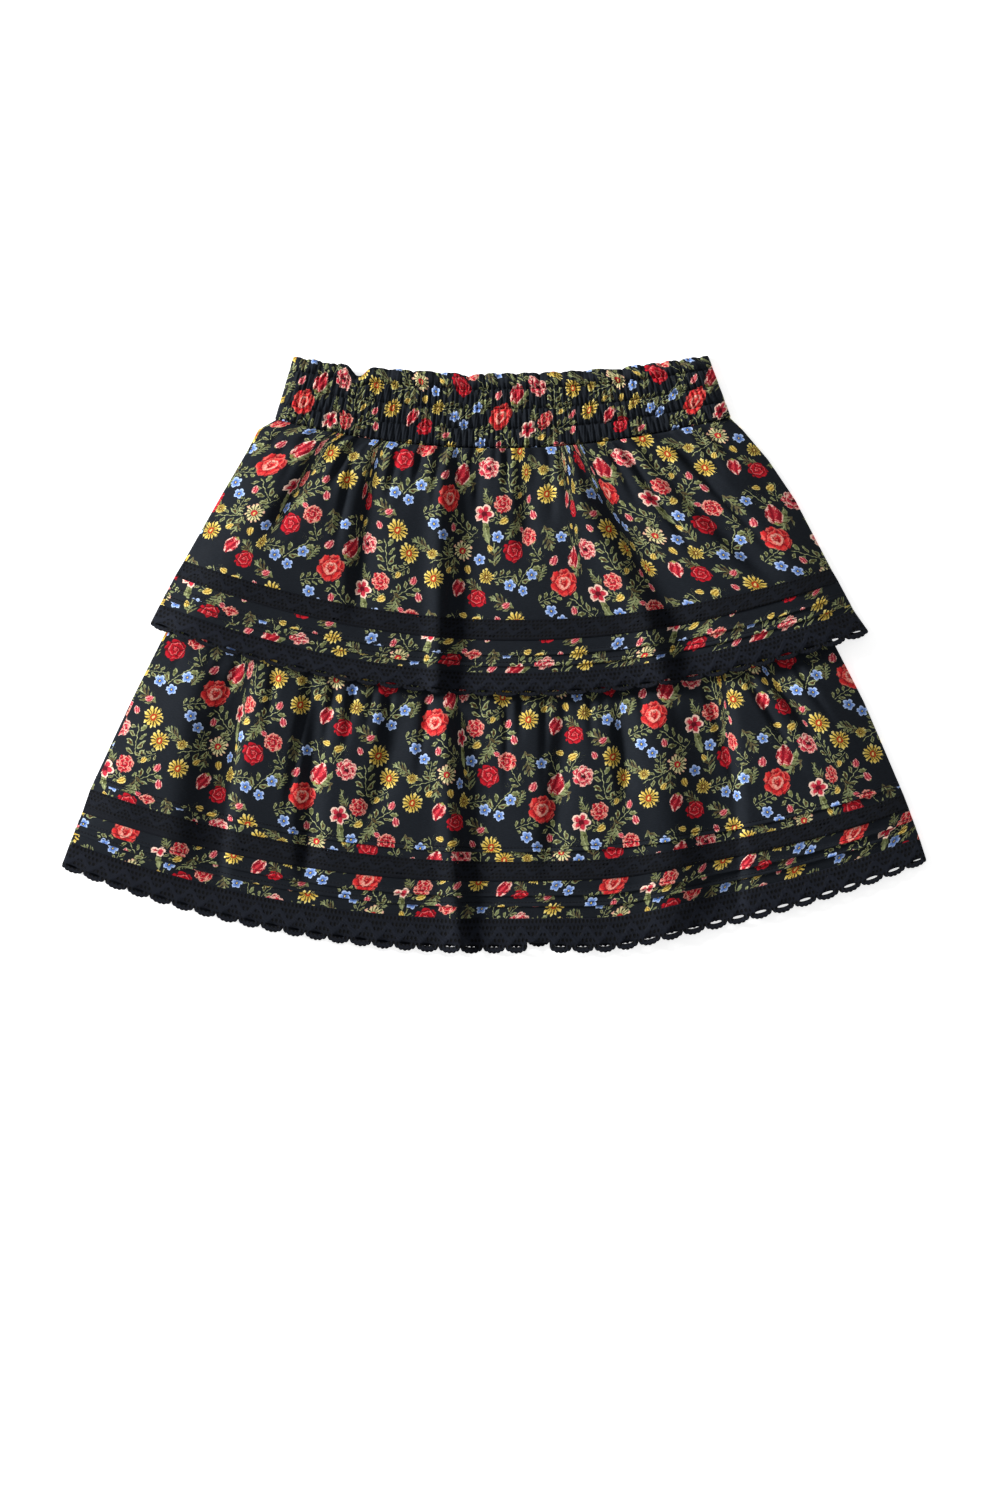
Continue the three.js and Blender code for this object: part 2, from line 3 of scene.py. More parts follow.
import bmesh
import bpy
import mathutils
import numpy as np
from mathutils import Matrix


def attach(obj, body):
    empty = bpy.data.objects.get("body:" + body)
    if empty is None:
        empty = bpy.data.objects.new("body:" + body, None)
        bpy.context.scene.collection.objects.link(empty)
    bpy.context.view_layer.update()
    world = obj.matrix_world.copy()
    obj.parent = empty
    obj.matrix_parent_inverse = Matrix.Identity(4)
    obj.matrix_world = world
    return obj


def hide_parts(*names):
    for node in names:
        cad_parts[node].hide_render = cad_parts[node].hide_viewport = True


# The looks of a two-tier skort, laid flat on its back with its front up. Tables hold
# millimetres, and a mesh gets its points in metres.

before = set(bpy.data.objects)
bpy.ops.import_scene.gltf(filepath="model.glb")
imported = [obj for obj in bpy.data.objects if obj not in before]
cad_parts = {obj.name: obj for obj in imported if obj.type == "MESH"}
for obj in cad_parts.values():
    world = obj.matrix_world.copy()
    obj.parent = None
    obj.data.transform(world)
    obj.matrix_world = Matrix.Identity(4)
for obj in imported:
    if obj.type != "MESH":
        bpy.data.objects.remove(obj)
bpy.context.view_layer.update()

MM = 0.001

# Rows across the garment: x and y at the left fold, in the middle and at the right fold.
WAIST_TOP = (-139, 208, 5, 196.5, 148.5, 209)
WAIST_SEAM = (-152, 164.5, 5, 144, 164.5, 166)
UPPER_ROWS = {
    "seam": WAIST_SEAM,
    "flare": (-164.5, 157.5, 5, 137, 173.5, 157.5),
    "hip": (-172.5, 142, 5, 119, 191.5, 136.5),
    "middle": (-190.5, 111.5, 6, 80.5, 210.5, 108.5),
    "insertion top": (-217, 65, 8, 23, 236, 59.5),
    "insertion bottom": (-222.5, 56, 8, 11, 240.5, 52),
    "band bottom": (-234, 34.5, 8.5, -14, 252, 30.5),
    "hem": (-241.5, 20, 9, -29.5, 263.5, 14.5),
}
LOWER_ROWS = {
    "seam": (-222, 31.5, 4, 3.5, 226, 31.5),
    "middle": (-253.5, -31.5, 2, -71.5, 259, -33),
    "insertion top": (-283, -94.5, 0.5, -145.5, 287, -98),
    "insertion bottom": (-288, -109, 0.5, -157, 290.5, -107),
    "band bottom": (-297.5, -131.5, 0, -185.5, 298.5, -128),
    "hem": (-304, -149, 0, -209, 304, -145),
}
HEM_SAG = {"x": 85, "depth": 3.8, "half_width": 38, "from_drop": 0.5}


def fold(top, end, drops, depth, left, right, crest=None, until=None):
    """A main crease: where it starts and ends across the tier (-1 to 1) and down it (0 to 1), its
    depth as a share of the puff, and its half widths to the left and right in mm. A crest beside
    it has its distance, rise and half width in mm. The crease may go on straight until a drop."""
    return {"top": top, "end": end, "from": drops[0], "to": drops[1], "depth": depth,
            "left": left, "right": right, "crest": crest, "until": until or drops[1]}


UPPER_FOLDS = [
    fold(-0.8, -0.97, (0, 0.28), 0.8, 8, 7),
    fold(-0.72, -0.8, (0, 0.55), 1, 7, 9),
    fold(-0.52, -0.455, (0, 0.8), 1, 6, 15),
    fold(-0.19, -0.155, (0, 1.2), 1, 3, 30, crest=(-9, 4.6, 7)),
    fold(0.11, 0.06, (0, 0.5), 0.9, 6, 10),
    fold(0.27, 0.25, (0, 0.25), 0.8, 6, 8),
    fold(0.33, 0.5, (0.03, 0.7), 1, 9, 22, crest=(-17, 4.5, 10), until=1.4),
    fold(0.58, 0.86, (0.02, 0.75), 0.9, 7, 14),
]
LOWER_FOLDS = [
    fold(-0.74, -0.64, (0.05, 0.95), 1, 30, 5, crest=(-33, 4.5, 14)),
    fold(-0.54, -0.44, (0.05, 0.9), 0.9, 6, 9),
    fold(-0.27, -0.33, (0.1, 0.65), 0.8, 6, 12),
    fold(-0.13, -0.03, (0, 1.2), 1, 4, 28, crest=(-10, 4, 7)),
    fold(0, 0, (0.1, 0.35), 0.6, 7, 7),
    fold(0.2, 0.12, (0.1, 0.8), 0.8, 7, 10),
    fold(0.35, 0.33, (0.1, 0.6), 0.9, 5, 8),
    fold(0.66, 0.565, (0.05, 0.95), 1, 44, 5, crest=(-47, 6.5, 19), until=1.1),
    fold(0.76, 0.86, (0.05, 0.5), 0.8, 5, 9),
]

# Short sharp creases that run down from the seams: place at the seam and at their lower end,
# how far down they go, depth and half width in mm.
UPPER_CREASES = [
    (-0.62, -0.66, 0.3, 1.8, 3.4), (-0.43, -0.42, 0.28, 2.2, 3), (-0.34, -0.33, 0.22, 1.6, 2.6),
    (-0.1, -0.09, 0.32, 2, 3), (0.02, 0.01, 0.22, 1.5, 2.6), (0.2, 0.18, 0.34, 2, 3),
    (0.45, 0.5, 0.3, 1.8, 3), (0.72, 0.84, 0.36, 1.8, 3.4), (0.86, 0.95, 0.25, 1.6, 3),
    (-0.9, -0.95, 0.2, 1.6, 3), (-0.25, -0.25, 0.3, 1.3, 2.4), (0.62, 0.68, 0.22, 1.4, 2.6),
    (0.5, 0.66, 0.62, 2.2, 3.2), (0.7, 0.93, 0.8, 2, 3.4), (-0.6, -0.56, 0.55, 2, 3),
]
LOWER_CREASES = [
    (-0.49, -0.46, 0.5, 2.4, 3.2), (-0.43, -0.41, 0.45, 2.2, 3), (-0.36, -0.37, 0.35, 1.6, 2.6),
    (-0.2, -0.21, 0.5, 1.9, 3), (-0.06, -0.05, 0.3, 1.6, 2.6), (0.07, 0.06, 0.35, 1.8, 3),
    (0.27, 0.26, 0.4, 2, 3), (0.31, 0.3, 0.3, 1.6, 2.4), (0.42, 0.41, 0.35, 1.8, 3),
    (0.74, 0.84, 0.4, 2, 3.2), (0.88, 0.93, 0.3, 1.6, 3), (-0.68, -0.62, 0.4, 1.8, 3.2),
    (-0.92, -0.94, 0.3, 1.4, 3), (0.14, 0.12, 0.55, 1.4, 2.8),
    (-0.56, -0.52, 0.75, 2.6, 3.2), (0.6, 0.62, 0.6, 2, 3), (0.7, 0.8, 0.6, 2.4, 3.2),
    (0.84, 0.92, 0.5, 2, 3), (-0.31, -0.32, 0.5, 2.2, 2.8), (0.02, 0.03, 0.55, 1.8, 2.6),
]
CREASE_DEPTH = 1.7
CREASE_FADE_FROM = 0.4
GATHER_FADE_FROM = 0.35
GATHER_WIDENING = 1.4
FOLD_START_FADE = 0.06
FOLD_END_FADE = 0.2
CREST_FADE = 0.2
FOLD_TAKE_UP = 4

# How far the cloth puffs up between its creases, and how deep its small gathers are, by drop.
UPPER_PUFF = {"drop": (0, 0.08, 0.2, 0.45, 0.7, 1), "puff": (0.8, 3.2, 5.2, 6.5, 5.5, 4.5),
              "gather": (1.6, 1.9, 1.7, 0.9, 0.3, 0)}
LOWER_PUFF = {"drop": (0, 0.15, 0.3, 0.5, 0.7, 1), "puff": (2, 4, 6.5, 7.5, 6, 4),
              "gather": (1.4, 1.7, 1.6, 1, 0.4, 0)}
PRESSED_SHARE = 0.3
PRESSED_RUN = 26
LOOSE_RUN = 8
SWELL = 0.55
SWELL_WAVES = (90, 55, 34)
BACK_CREASE_SHARE = 0.2
BACK_CREASE_MOST = 0.6

# Heights of the layers over the table.
CLOTH_WALL = 1.4
LAYER = 1.7
FRONT_Z = 6
UPPER_OVER_LOWER = 3.7
SIDE_ROUNDING = 32
PUFF_ROUNDING = 48
LIFT_FROM_DROP = 0.4
LOWER_BACK_STEP = {"drop": (0, 0.16, 0.28, 1), "height": (LAYER, LAYER, 0, 0)}
LOWER_FRONT_STEP = {"drop": (0, 0.76, 0.89, 1), "height": (FRONT_Z, FRONT_Z, LAYER, LAYER)}
UPPER_BACK_RISE = 6
LOWER_BACK_RISE = 8
# Where the back is hitched up: from and to across the garment, and the share of the rise.
BACK_HITCHES = ((-1, -0.985, 0.32), (-0.27, -0.1, 0.21), (0.46, 0.6, 0.47), (0.88, 0.995, -1))
WAIST_BACK_DIP = 4

CLOTH_THICKNESS = 0.45
LACE_THICKNESS = 0.7
LACE_OVER_CLOTH = 0.5
LACE_OVERLAP = 1.2
STRIP_MERGE = 2e-6
NET_MERGE = 2e-5


def blend(value, low, high):
    """0 below low, 1 above high, and a soft step between them."""
    share = np.clip((value - low) / (high - low), 0, 1)
    return share * share * (3 - 2 * share)


def row_curve(row):
    """A row's x and y, each as its middle, its slope and its bow."""
    left_x, left_y, mid_x, mid_y, right_x, right_y = row
    return np.array([
        [mid_x, (right_x - left_x) / 2, (right_x + left_x) / 2 - mid_x],
        [mid_y, (right_y - left_y) / 2, (right_y + left_y) / 2 - mid_y],
    ])


def powers(across):
    return np.stack([np.ones_like(across), across, across ** 2])


def on_curve(curve, across):
    return np.tensordot(curve, powers(across), 1)


def rolling(x, y, seed):
    """A slow uneven swell between -1 and 1 over the garment, the same each time."""
    dice = np.random.default_rng(seed)
    total = 0
    for wave in SWELL_WAVES:
        angle, shift = dice.uniform(0, math.tau, 2)
        run = (x * math.cos(angle) + y * math.sin(angle)) * math.tau / wave
        total = total + np.sin(run + shift) * np.cos(run * 0.37 + 2 * shift)
    return total / 3


class Tier:
    """One tier: its rows, its creases and the height of its cloth over the table."""

    def __init__(self, rows, folds, sharp, puff, lower, back_rise, gathers, seed):
        mids = np.array([row[3] for row in rows.values()], float)
        self.length = mids[0] - mids[-1]
        self.drops = (mids[0] - mids) / self.length
        self.drop = dict(zip(rows, self.drops))
        self.curves = np.array([row_curve(row) for row in rows.values()])
        self.folds = folds
        self.puff = puff
        self.lower = lower
        self.back_rise = back_rise
        self.creases = self.small_creases(gathers, seed)
        self.sharp = sharp
        self.seed = seed

    def small_creases(self, count, seed):
        """Uneven short creases under the gathered seam."""
        dice = np.random.default_rng(seed)
        creases = []
        for number in range(count):
            place = -1 + 2 * (number + 0.5 + dice.uniform(-0.3, 0.3)) / count
            creases.append({
                "top": place,
                "end": place + dice.uniform(-0.03, 0.03),
                "to": dice.choice([0.16, 0.24, 0.34, 0.5, 0.72], p=[0.3, 0.3, 0.2, 0.13, 0.07]),
                "depth": dice.uniform(0.45, 1.15),
                "width": dice.uniform(2.0, 3.6),
            })
        return creases

    def plan(self, across, drop, back=False):
        parts = np.array([
            [np.interp(drop, self.drops, self.curves[:, axis, power]) for power in range(3)]
            for axis in range(2)
        ])
        x, y = (parts * powers(across)).sum(1)
        if self.lower:
            away = (x - HEM_SAG["x"]) / HEM_SAG["half_width"]
            y = y - HEM_SAG["depth"] * np.exp(-away ** 2) * blend(drop, HEM_SAG["from_drop"], 1)
        if back:
            y = y + self.back_rise * drop * self.hitched(across)
        return x, y

    @staticmethod
    def hitched(across):
        """How far the back is hitched up behind the front: a little at the left, where it backs
        the slots of the lace, and most at the right, where the table shows through them."""
        return sum(share * blend(across, start, end) for start, end, share in BACK_HITCHES)

    def half_width(self, drop):
        return np.interp(drop, self.drops, self.curves[:, 0, 1])

    def side_rise(self, across, drop, rounding=SIDE_ROUNDING):
        inside = (1 - np.abs(across)) * self.half_width(drop)
        return np.sin(np.pi / 2 * np.clip(inside / rounding, 0, 1))

    def fold_line(self, fold, drop):
        share = np.clip((drop - fold["from"]) / (fold["to"] - fold["from"]), 0, 1)
        return fold["top"] + (fold["end"] - fold["top"]) * share

    def folded(self, across, drop):
        """The share of the puff that the creases leave, and the crests beside them in mm."""
        kept, crests = 1, 0
        for fold in self.folds:
            away = (across - self.fold_line(fold, drop)) * self.half_width(drop)
            width = np.where(away < 0, fold["left"], fold["right"])
            start = blend(drop, fold["from"] - FOLD_START_FADE, fold["from"])
            end = 1 - blend(drop, fold["until"] - FOLD_END_FADE, fold["until"])
            kept = kept * (1 - fold["depth"] * start * end * np.exp(-(away / width) ** 2))
            if fold["crest"]:
                place, rise, spread = fold["crest"]
                beyond = (away - place) / spread
                crests = crests + rise * blend(drop, 0, CREST_FADE) * end * np.exp(-beyond ** 2)
        return kept, crests

    def gathered(self, across, drop):
        """The depth of the small creases, in mm."""
        total = 0
        for crease in self.creases:
            line = crease["top"] + (crease["end"] - crease["top"]) * drop / crease["to"]
            away = (across - line) * self.half_width(drop) / (
                crease["width"] * (1 + GATHER_WIDENING * drop))
            fade = 1 - blend(drop, GATHER_FADE_FROM * crease["to"], crease["to"])
            total = total + crease["depth"] * fade * np.exp(-away ** 2)
        total = total * np.interp(drop, self.puff["drop"], self.puff["gather"])
        for top, end, reach, depth, width in self.sharp:
            away = (across - top - (end - top) * drop / reach) * self.half_width(drop) / width
            fade = CREASE_DEPTH * (1 - blend(drop, CREASE_FADE_FROM * reach, reach))
            total = total + depth * fade * np.exp(-away ** 2)
        return total

    def base(self, across, drop):
        if self.lower:
            edge = np.interp(drop, LOWER_BACK_STEP["drop"], LOWER_BACK_STEP["height"]) + LAYER
            middle = np.interp(drop, LOWER_FRONT_STEP["drop"], LOWER_FRONT_STEP["height"])
            return edge + (middle - edge) * self.side_rise(across, drop)
        lift = blend(drop, LIFT_FROM_DROP, self.drop["insertion top"])
        middle = FRONT_Z - LAYER + UPPER_OVER_LOWER * lift
        return LAYER + middle * self.side_rise(across, drop)

    def front_height(self, across, drop):
        """The upper face of the front."""
        x, y = self.plan(across, drop)
        free = loose = self.side_rise(across, drop, PUFF_ROUNDING)
        if self.lower:
            below = on_curve(row_curve(UPPER_ROWS["hem"]), self.upper_across(x))[1] - y
            free = free * (PRESSED_SHARE + (1 - PRESSED_SHARE) * blend(below, 0, PRESSED_RUN))
            loose = loose * (PRESSED_SHARE + (1 - PRESSED_SHARE) * blend(below, -1, LOOSE_RUN))
        puff = np.interp(drop, self.puff["drop"], self.puff["puff"])
        kept, crests = self.folded(across, drop)
        gather = np.interp(drop, self.puff["drop"], self.puff["gather"]) - self.gathered(across, drop)
        swell = SWELL * rolling(x, y, self.seed)
        relief = free * (puff * kept + crests + swell) + loose * gather
        return self.base(across, drop) + CLOTH_WALL + np.maximum(relief, 0)

    def back_height(self, across, drop):
        """The under face of the back, which lies on the table."""
        floor = np.interp(drop, LOWER_BACK_STEP["drop"], LOWER_BACK_STEP["height"]) if self.lower else 0
        pressed = BACK_CREASE_SHARE * self.gathered(-across, drop) * self.side_rise(across, drop)
        return floor + np.minimum(pressed, BACK_CREASE_MOST)

    @staticmethod
    def upper_across(x):
        row = UPPER_ROWS["hem"]
        return (x - row[2]) * 2 / (row[4] - row[0])


UPPER = Tier(UPPER_ROWS, UPPER_FOLDS, UPPER_CREASES, UPPER_PUFF,
             lower=False, back_rise=UPPER_BACK_RISE, gathers=40, seed=3)
LOWER = Tier(LOWER_ROWS, LOWER_FOLDS, LOWER_CREASES, LOWER_PUFF,
             lower=True, back_rise=LOWER_BACK_RISE, gathers=48, seed=5)

# A tube that lies flat is followed round by one number: -1 to 1 over its front from left to
# right, 1 to 3 over its back, with a small share at each side for the turn.
TURN = 0.008
TURN_STEPS = 4
JUST_INSIDE = 0.99
NEVER_ZERO = 1e-9


def ring(front, back):
    """Places round a tube, with the last one back at the first."""
    side = TURN * np.linspace(-1, 1, TURN_STEPS + 1)[1:]
    ahead = np.linspace(-1 + TURN, 1 - TURN, front + 1)
    behind = np.linspace(1 + TURN, 3 - TURN, back + 1)[1:]
    return np.concatenate([ahead, 1 + side, behind, 3 + side])


def across_of(around):
    """The place across of a place round a tube, how far round the turn it is, and if it is behind."""
    loop = (around + 1) % 4 - 1
    across = np.where(loop > 1, 2 - loop, loop)
    edge = 1 - TURN
    return np.clip(across, -edge, edge), np.clip((np.abs(across) - edge) / TURN, 0, 1), loop > 1


def on_tube(form, around, drop, over=0.0):
    """Points of a tube's outer face, in mm: at each place round it and down it."""
    across, turned, is_back = across_of(around)
    angle = np.pi / 2 * turned
    x, y = form.plan(across, drop)
    back_x, back_y = form.plan(across, drop, back=True)
    high = form.front_height(across, drop) + over * form.side_rise(across, drop)
    low = form.back_height(across, drop)
    middle, half = (high + low) / 2, (high - low) / 2
    near_x, near_y = form.plan(across * JUST_INSIDE, drop)
    way = np.hypot(x - near_x, y - near_y) + NEVER_ZERO
    out = half * np.sin(angle)
    flat_x = np.where(is_back, back_x, x) + out * (x - near_x) / way
    flat_y = np.where(is_back, back_y, y) + out * (y - near_y) / way
    height = middle + np.where(is_back, -1, 1) * half * np.cos(angle)
    return np.stack([flat_x, flat_y, height], -1)


def run_along(points):
    """Distances along each row in the plan, from the middle of the front."""
    steps = np.linalg.norm(np.diff(points[..., :2], axis=1), axis=2)
    return np.concatenate([np.zeros((len(points), 1)), np.cumsum(steps, 1)], 1)


def run_down(points):
    steps = np.linalg.norm(np.diff(points[..., :2], axis=0), axis=2)
    return np.concatenate([np.zeros((1, points.shape[1])), np.cumsum(steps, 0)], 0)


def gathered_cloth(tier, around, drops, points):
    """How far along its cloth each point of a gathered tier is. Between the creases the cloth lies
    true to size, and what the gathering hides is taken up in the creases."""
    along = run_along(points)
    drops = np.asarray(drops, float)
    lines = [tier.fold_line(fold, drops) for fold in tier.folds]
    lines = np.stack(lines + [2 - line for line in reversed(lines)], 1)
    ends = np.full((len(drops), 1), -1.0)
    edges = np.concatenate([ends, lines, ends + 4], 1)
    centres = (edges[:, 1:] + edges[:, :-1]) / 2
    at = np.stack([np.interp(c, around, a) for c, a in zip(centres, along)])
    hidden = np.maximum.accumulate(at[-1] - at, axis=1)
    half = FOLD_TAKE_UP / tier.half_width(drops)
    cloth = np.empty_like(along)
    for r in range(len(drops)):
        knots = np.stack([lines[r] - half[r], lines[r] + half[r]], 1).ravel()
        taken = np.stack([hidden[r, :-1], hidden[r, 1:]], 1).ravel()
        cloth[r] = along[r] + np.interp(around, knots, taken)
    return cloth


def cloth_mesh(name, points, cloth, printed=True):
    """A closed strip of one grid of faces: its points in mm, and the place on the cloth of each."""
    rows, columns = points.shape[0] - 1, points.shape[1] - 1
    form = bmesh.new()
    bmesh.ops.create_grid(form, x_segments=columns, y_segments=rows, size=0.5)
    mesh = mesh_from(form, name)
    place = np.empty(len(mesh.vertices) * 3, np.float32)
    mesh.vertices.foreach_get("co", place)
    place = place.reshape(-1, 3)
    column = np.rint((place[:, 0] + 0.5) * columns).astype(int)
    row = np.rint((0.5 - place[:, 1]) * rows).astype(int)
    mesh.vertices.foreach_set("co", (points[row, column] * MM).astype(np.float32).ravel())
    corner = np.empty(len(mesh.loops), np.int32)
    mesh.loops.foreach_get("vertex_index", corner)
    on_cloth = cloth[row[corner], column[corner]]
    add_vectors(mesh, "cloth", np.column_stack([on_cloth, np.zeros(len(corner))]))
    if printed:
        add_print(mesh, on_cloth)
    weld(mesh)
    mesh.shade_smooth()
    return mesh


def mesh_from(form, name):
    mesh = bpy.data.meshes.new(name)
    form.to_mesh(mesh)
    form.free()
    return mesh


def add_vectors(mesh, name, vectors):
    data = mesh.attributes.new(name, "FLOAT_VECTOR", "CORNER").data
    data.foreach_set("vector", np.asarray(vectors, np.float32).ravel())


def weld(mesh):
    form = bmesh.new()
    form.from_mesh(mesh)
    bmesh.ops.remove_doubles(form, verts=form.verts, dist=STRIP_MERGE)
    form.to_mesh(mesh)
    form.free()


# The print: one repeat of flowers and leaves, with the next column half a repeat lower.
REPEAT_WIDTH = 86
REPEAT_HEIGHT = 120
HALF_DROP = 60

RED_ROSE, CORAL_ROSE, POPPY, CARNATION, BLOSSOM, FORGET_ME_NOT = 1, 2, 3, 4, 5, 6
DAISY, SMALL_DAISY, ASTER, TULIP, YELLOW_BUD, PINK_BUD = 7, 8, 9, 10, 11, 12
SPRIG, FERN, BLADE = 1, 2, 3

# Kind, place in the repeat, turn in degrees and radius.
BLOOMS = [
    (CORAL_ROSE, 17, 44, 10, 10.4),
    (TULIP, 27, 27, -20, 8.8),
    (POPPY, 46, 22, 30, 8),
    (BLOSSOM, 44, 54, 70, 7.4),
    (RED_ROSE, 66, 80, 0, 8.4),
    (CARNATION, 57, 47, 40, 6.8),
    (PINK_BUD, 11, 28, -30, 4.2),
    (DAISY, 67, 10, 0, 8.6),
    (DAISY, 76, 25, 25, 8),
    (ASTER, 30, 80, 10, 7.8),
    (SMALL_DAISY, 47, 98, 0, 6.2),
    (DAISY, 8, 101, 15, 8.2),
    (TULIP, 27, 106, 160, 7),
    (CARNATION, 79, 70, 140, 7),
    (RED_ROSE, 40, 113, 60, 7),
    (FORGET_ME_NOT, 54, 70, 0, 4.6),
    (FORGET_ME_NOT, 42, 86, 30, 4.4),
    (FORGET_ME_NOT, 6, 63, 50, 4.6),
    (FORGET_ME_NOT, 13, 70, 10, 4.2),
    (FORGET_ME_NOT, 63, 104, 0, 4.6),
    (FORGET_ME_NOT, 73, 108, 40, 4.2),
    (FORGET_ME_NOT, 81, 97, 20, 4.4),
    (YELLOW_BUD, 58, 59, 120, 3.6),
    (PINK_BUD, 84, 55, 20, 3.8),
    (YELLOW_BUD, 39, 8, -60, 3.8),
    (FORGET_ME_NOT, 17, 12, 20, 4.2),
    (PINK_BUD, 54, 8, 30, 3.2),
    (PINK_BUD, 22, 64, 10, 3.4),
    (YELLOW_BUD, 34, 93, 200, 3.4),
    (PINK_BUD, 80, 44, -20, 3.6),
    (PINK_BUD, 60, 118, -60, 3.4),
    (YELLOW_BUD, 49, 78, 30, 2.8),
    (PINK_BUD, 72, 65, 60, 2.8),
    (YELLOW_BUD, 19, 94, -40, 3),
    (YELLOW_BUD, 69, 41, 150, 2.8),
    (SMALL_DAISY, 6, 84, 0, 4.4),
    (YELLOW_BUD, 30, 5, 80, 3),
]
LEAVES = [
    (SPRIG, 60, 28, 20, 11),
    (FERN, 8, 12, 200, 10),
    (FERN, 30, 36, 120, 9),
    (SPRIG, 74, 52, -40, 10),
    (SPRIG, 28, 62, 60, 11),
    (FERN, 52, 82, 10, 9),
    (SPRIG, 14, 87, 120, 10),
    (SPRIG, 76, 96, -30, 11),
    (BLADE, 46, 66, -150, 10),
    (SPRIG, 25, 12, 30, 9),
    (FERN, 68, 58, 200, 9),
    (FERN, 57, 116, 70, 10),
]
UNDER_LEAVES = [
    (FERN, 64, 66, 150, 8),
    (SPRIG, 40, 12, -20, 8),
    (BLADE, 32, 31, 160, 9),
    (FERN, 84, 18, 70, 8),
    (SPRIG, 6, 54, -60, 8),
    (FERN, 24, 92, 180, 8),
    (SPRIG, 60, 98, -70, 8),
    (SPRIG, 84, 80, 40, 8),
    (SPRIG, 53, 57, 80, 7),
    (FERN, 46, 42, 30, 7),
    (SPRIG, 18, 78, 10, 7),
    (FERN, 38, 104, 60, 7),
    (SPRIG, 70, 38, 130, 7),
    (FERN, 2, 36, -20, 7),
    (SPRIG, 36, 70, -30, 7),
]


def motif_at(table, corners):
    """For each face, the motif of the table that it lies nearest to. Gives each corner's place in
    that motif, in tenths of its radius with its top up, and the motif's kind with its row added."""
    middle = corners.mean(1)
    best = np.full(len(middle), np.inf)
    centre = np.zeros_like(middle)
    facts = np.zeros((len(middle), 3))
    for number, (kind, u, v, turn, radius) in enumerate(table):
        column = np.rint((middle[:, 0] - u) / REPEAT_WIDTH)
        place_u = u + column * REPEAT_WIDTH
        place_v = v + column * HALF_DROP
        place_v = place_v + np.rint((middle[:, 1] - place_v) / REPEAT_HEIGHT) * REPEAT_HEIGHT
        gap = np.hypot(middle[:, 0] - place_u, middle[:, 1] - place_v) - radius
        nearer = gap < best
        best[nearer] = gap[nearer]
        centre[nearer] = np.column_stack([place_u, place_v])[nearer]
        facts[nearer] = (kind + 0.01 * number, math.radians(turn), radius / 10)
    offset = corners - centre[:, None, :]
    kind, turn, unit = (facts[:, i, None] for i in range(3))
    right, up = offset[..., 0], -offset[..., 1]
    x = (right * np.cos(turn) + up * np.sin(turn)) / unit
    y = (up * np.cos(turn) - right * np.sin(turn)) / unit
    return np.stack([x, y, np.broadcast_to(kind, x.shape)], -1)


def add_print(mesh, on_cloth):
    corners = on_cloth.reshape(-1, 4, 2)
    for name, table in (("bloom", BLOOMS), ("leaf", LEAVES), ("under leaf", UNDER_LEAVES)):
        add_vectors(mesh, name, motif_at(table, corners).reshape(-1, 3))


# Shader maths in plain expressions.

def by_math(operation):
    return lambda value, *others: value.math(operation, *others)


class Value:
    """A socket of a material's nodes: the operators add Math nodes."""

    def __init__(self, look, socket):
        self.look = look
        self.socket = socket

    def math(self, operation, *others):
        return self.look.node("ShaderNodeMath", {"operation": operation}, [self, *others])

    def __rsub__(self, other):
        return self.look.node("ShaderNodeMath", {"operation": "SUBTRACT"}, [other, self])

    __add__ = __radd__ = by_math("ADD")
    __sub__ = by_math("SUBTRACT")
    __mul__ = __rmul__ = by_math("MULTIPLY")
    __truediv__ = by_math("DIVIDE")
    __pow__ = by_math("POWER")
    __abs__ = by_math("ABSOLUTE")
    __lt__ = by_math("LESS_THAN")
    __gt__ = by_math("GREATER_THAN")


MATT_SPECULAR = 0.14


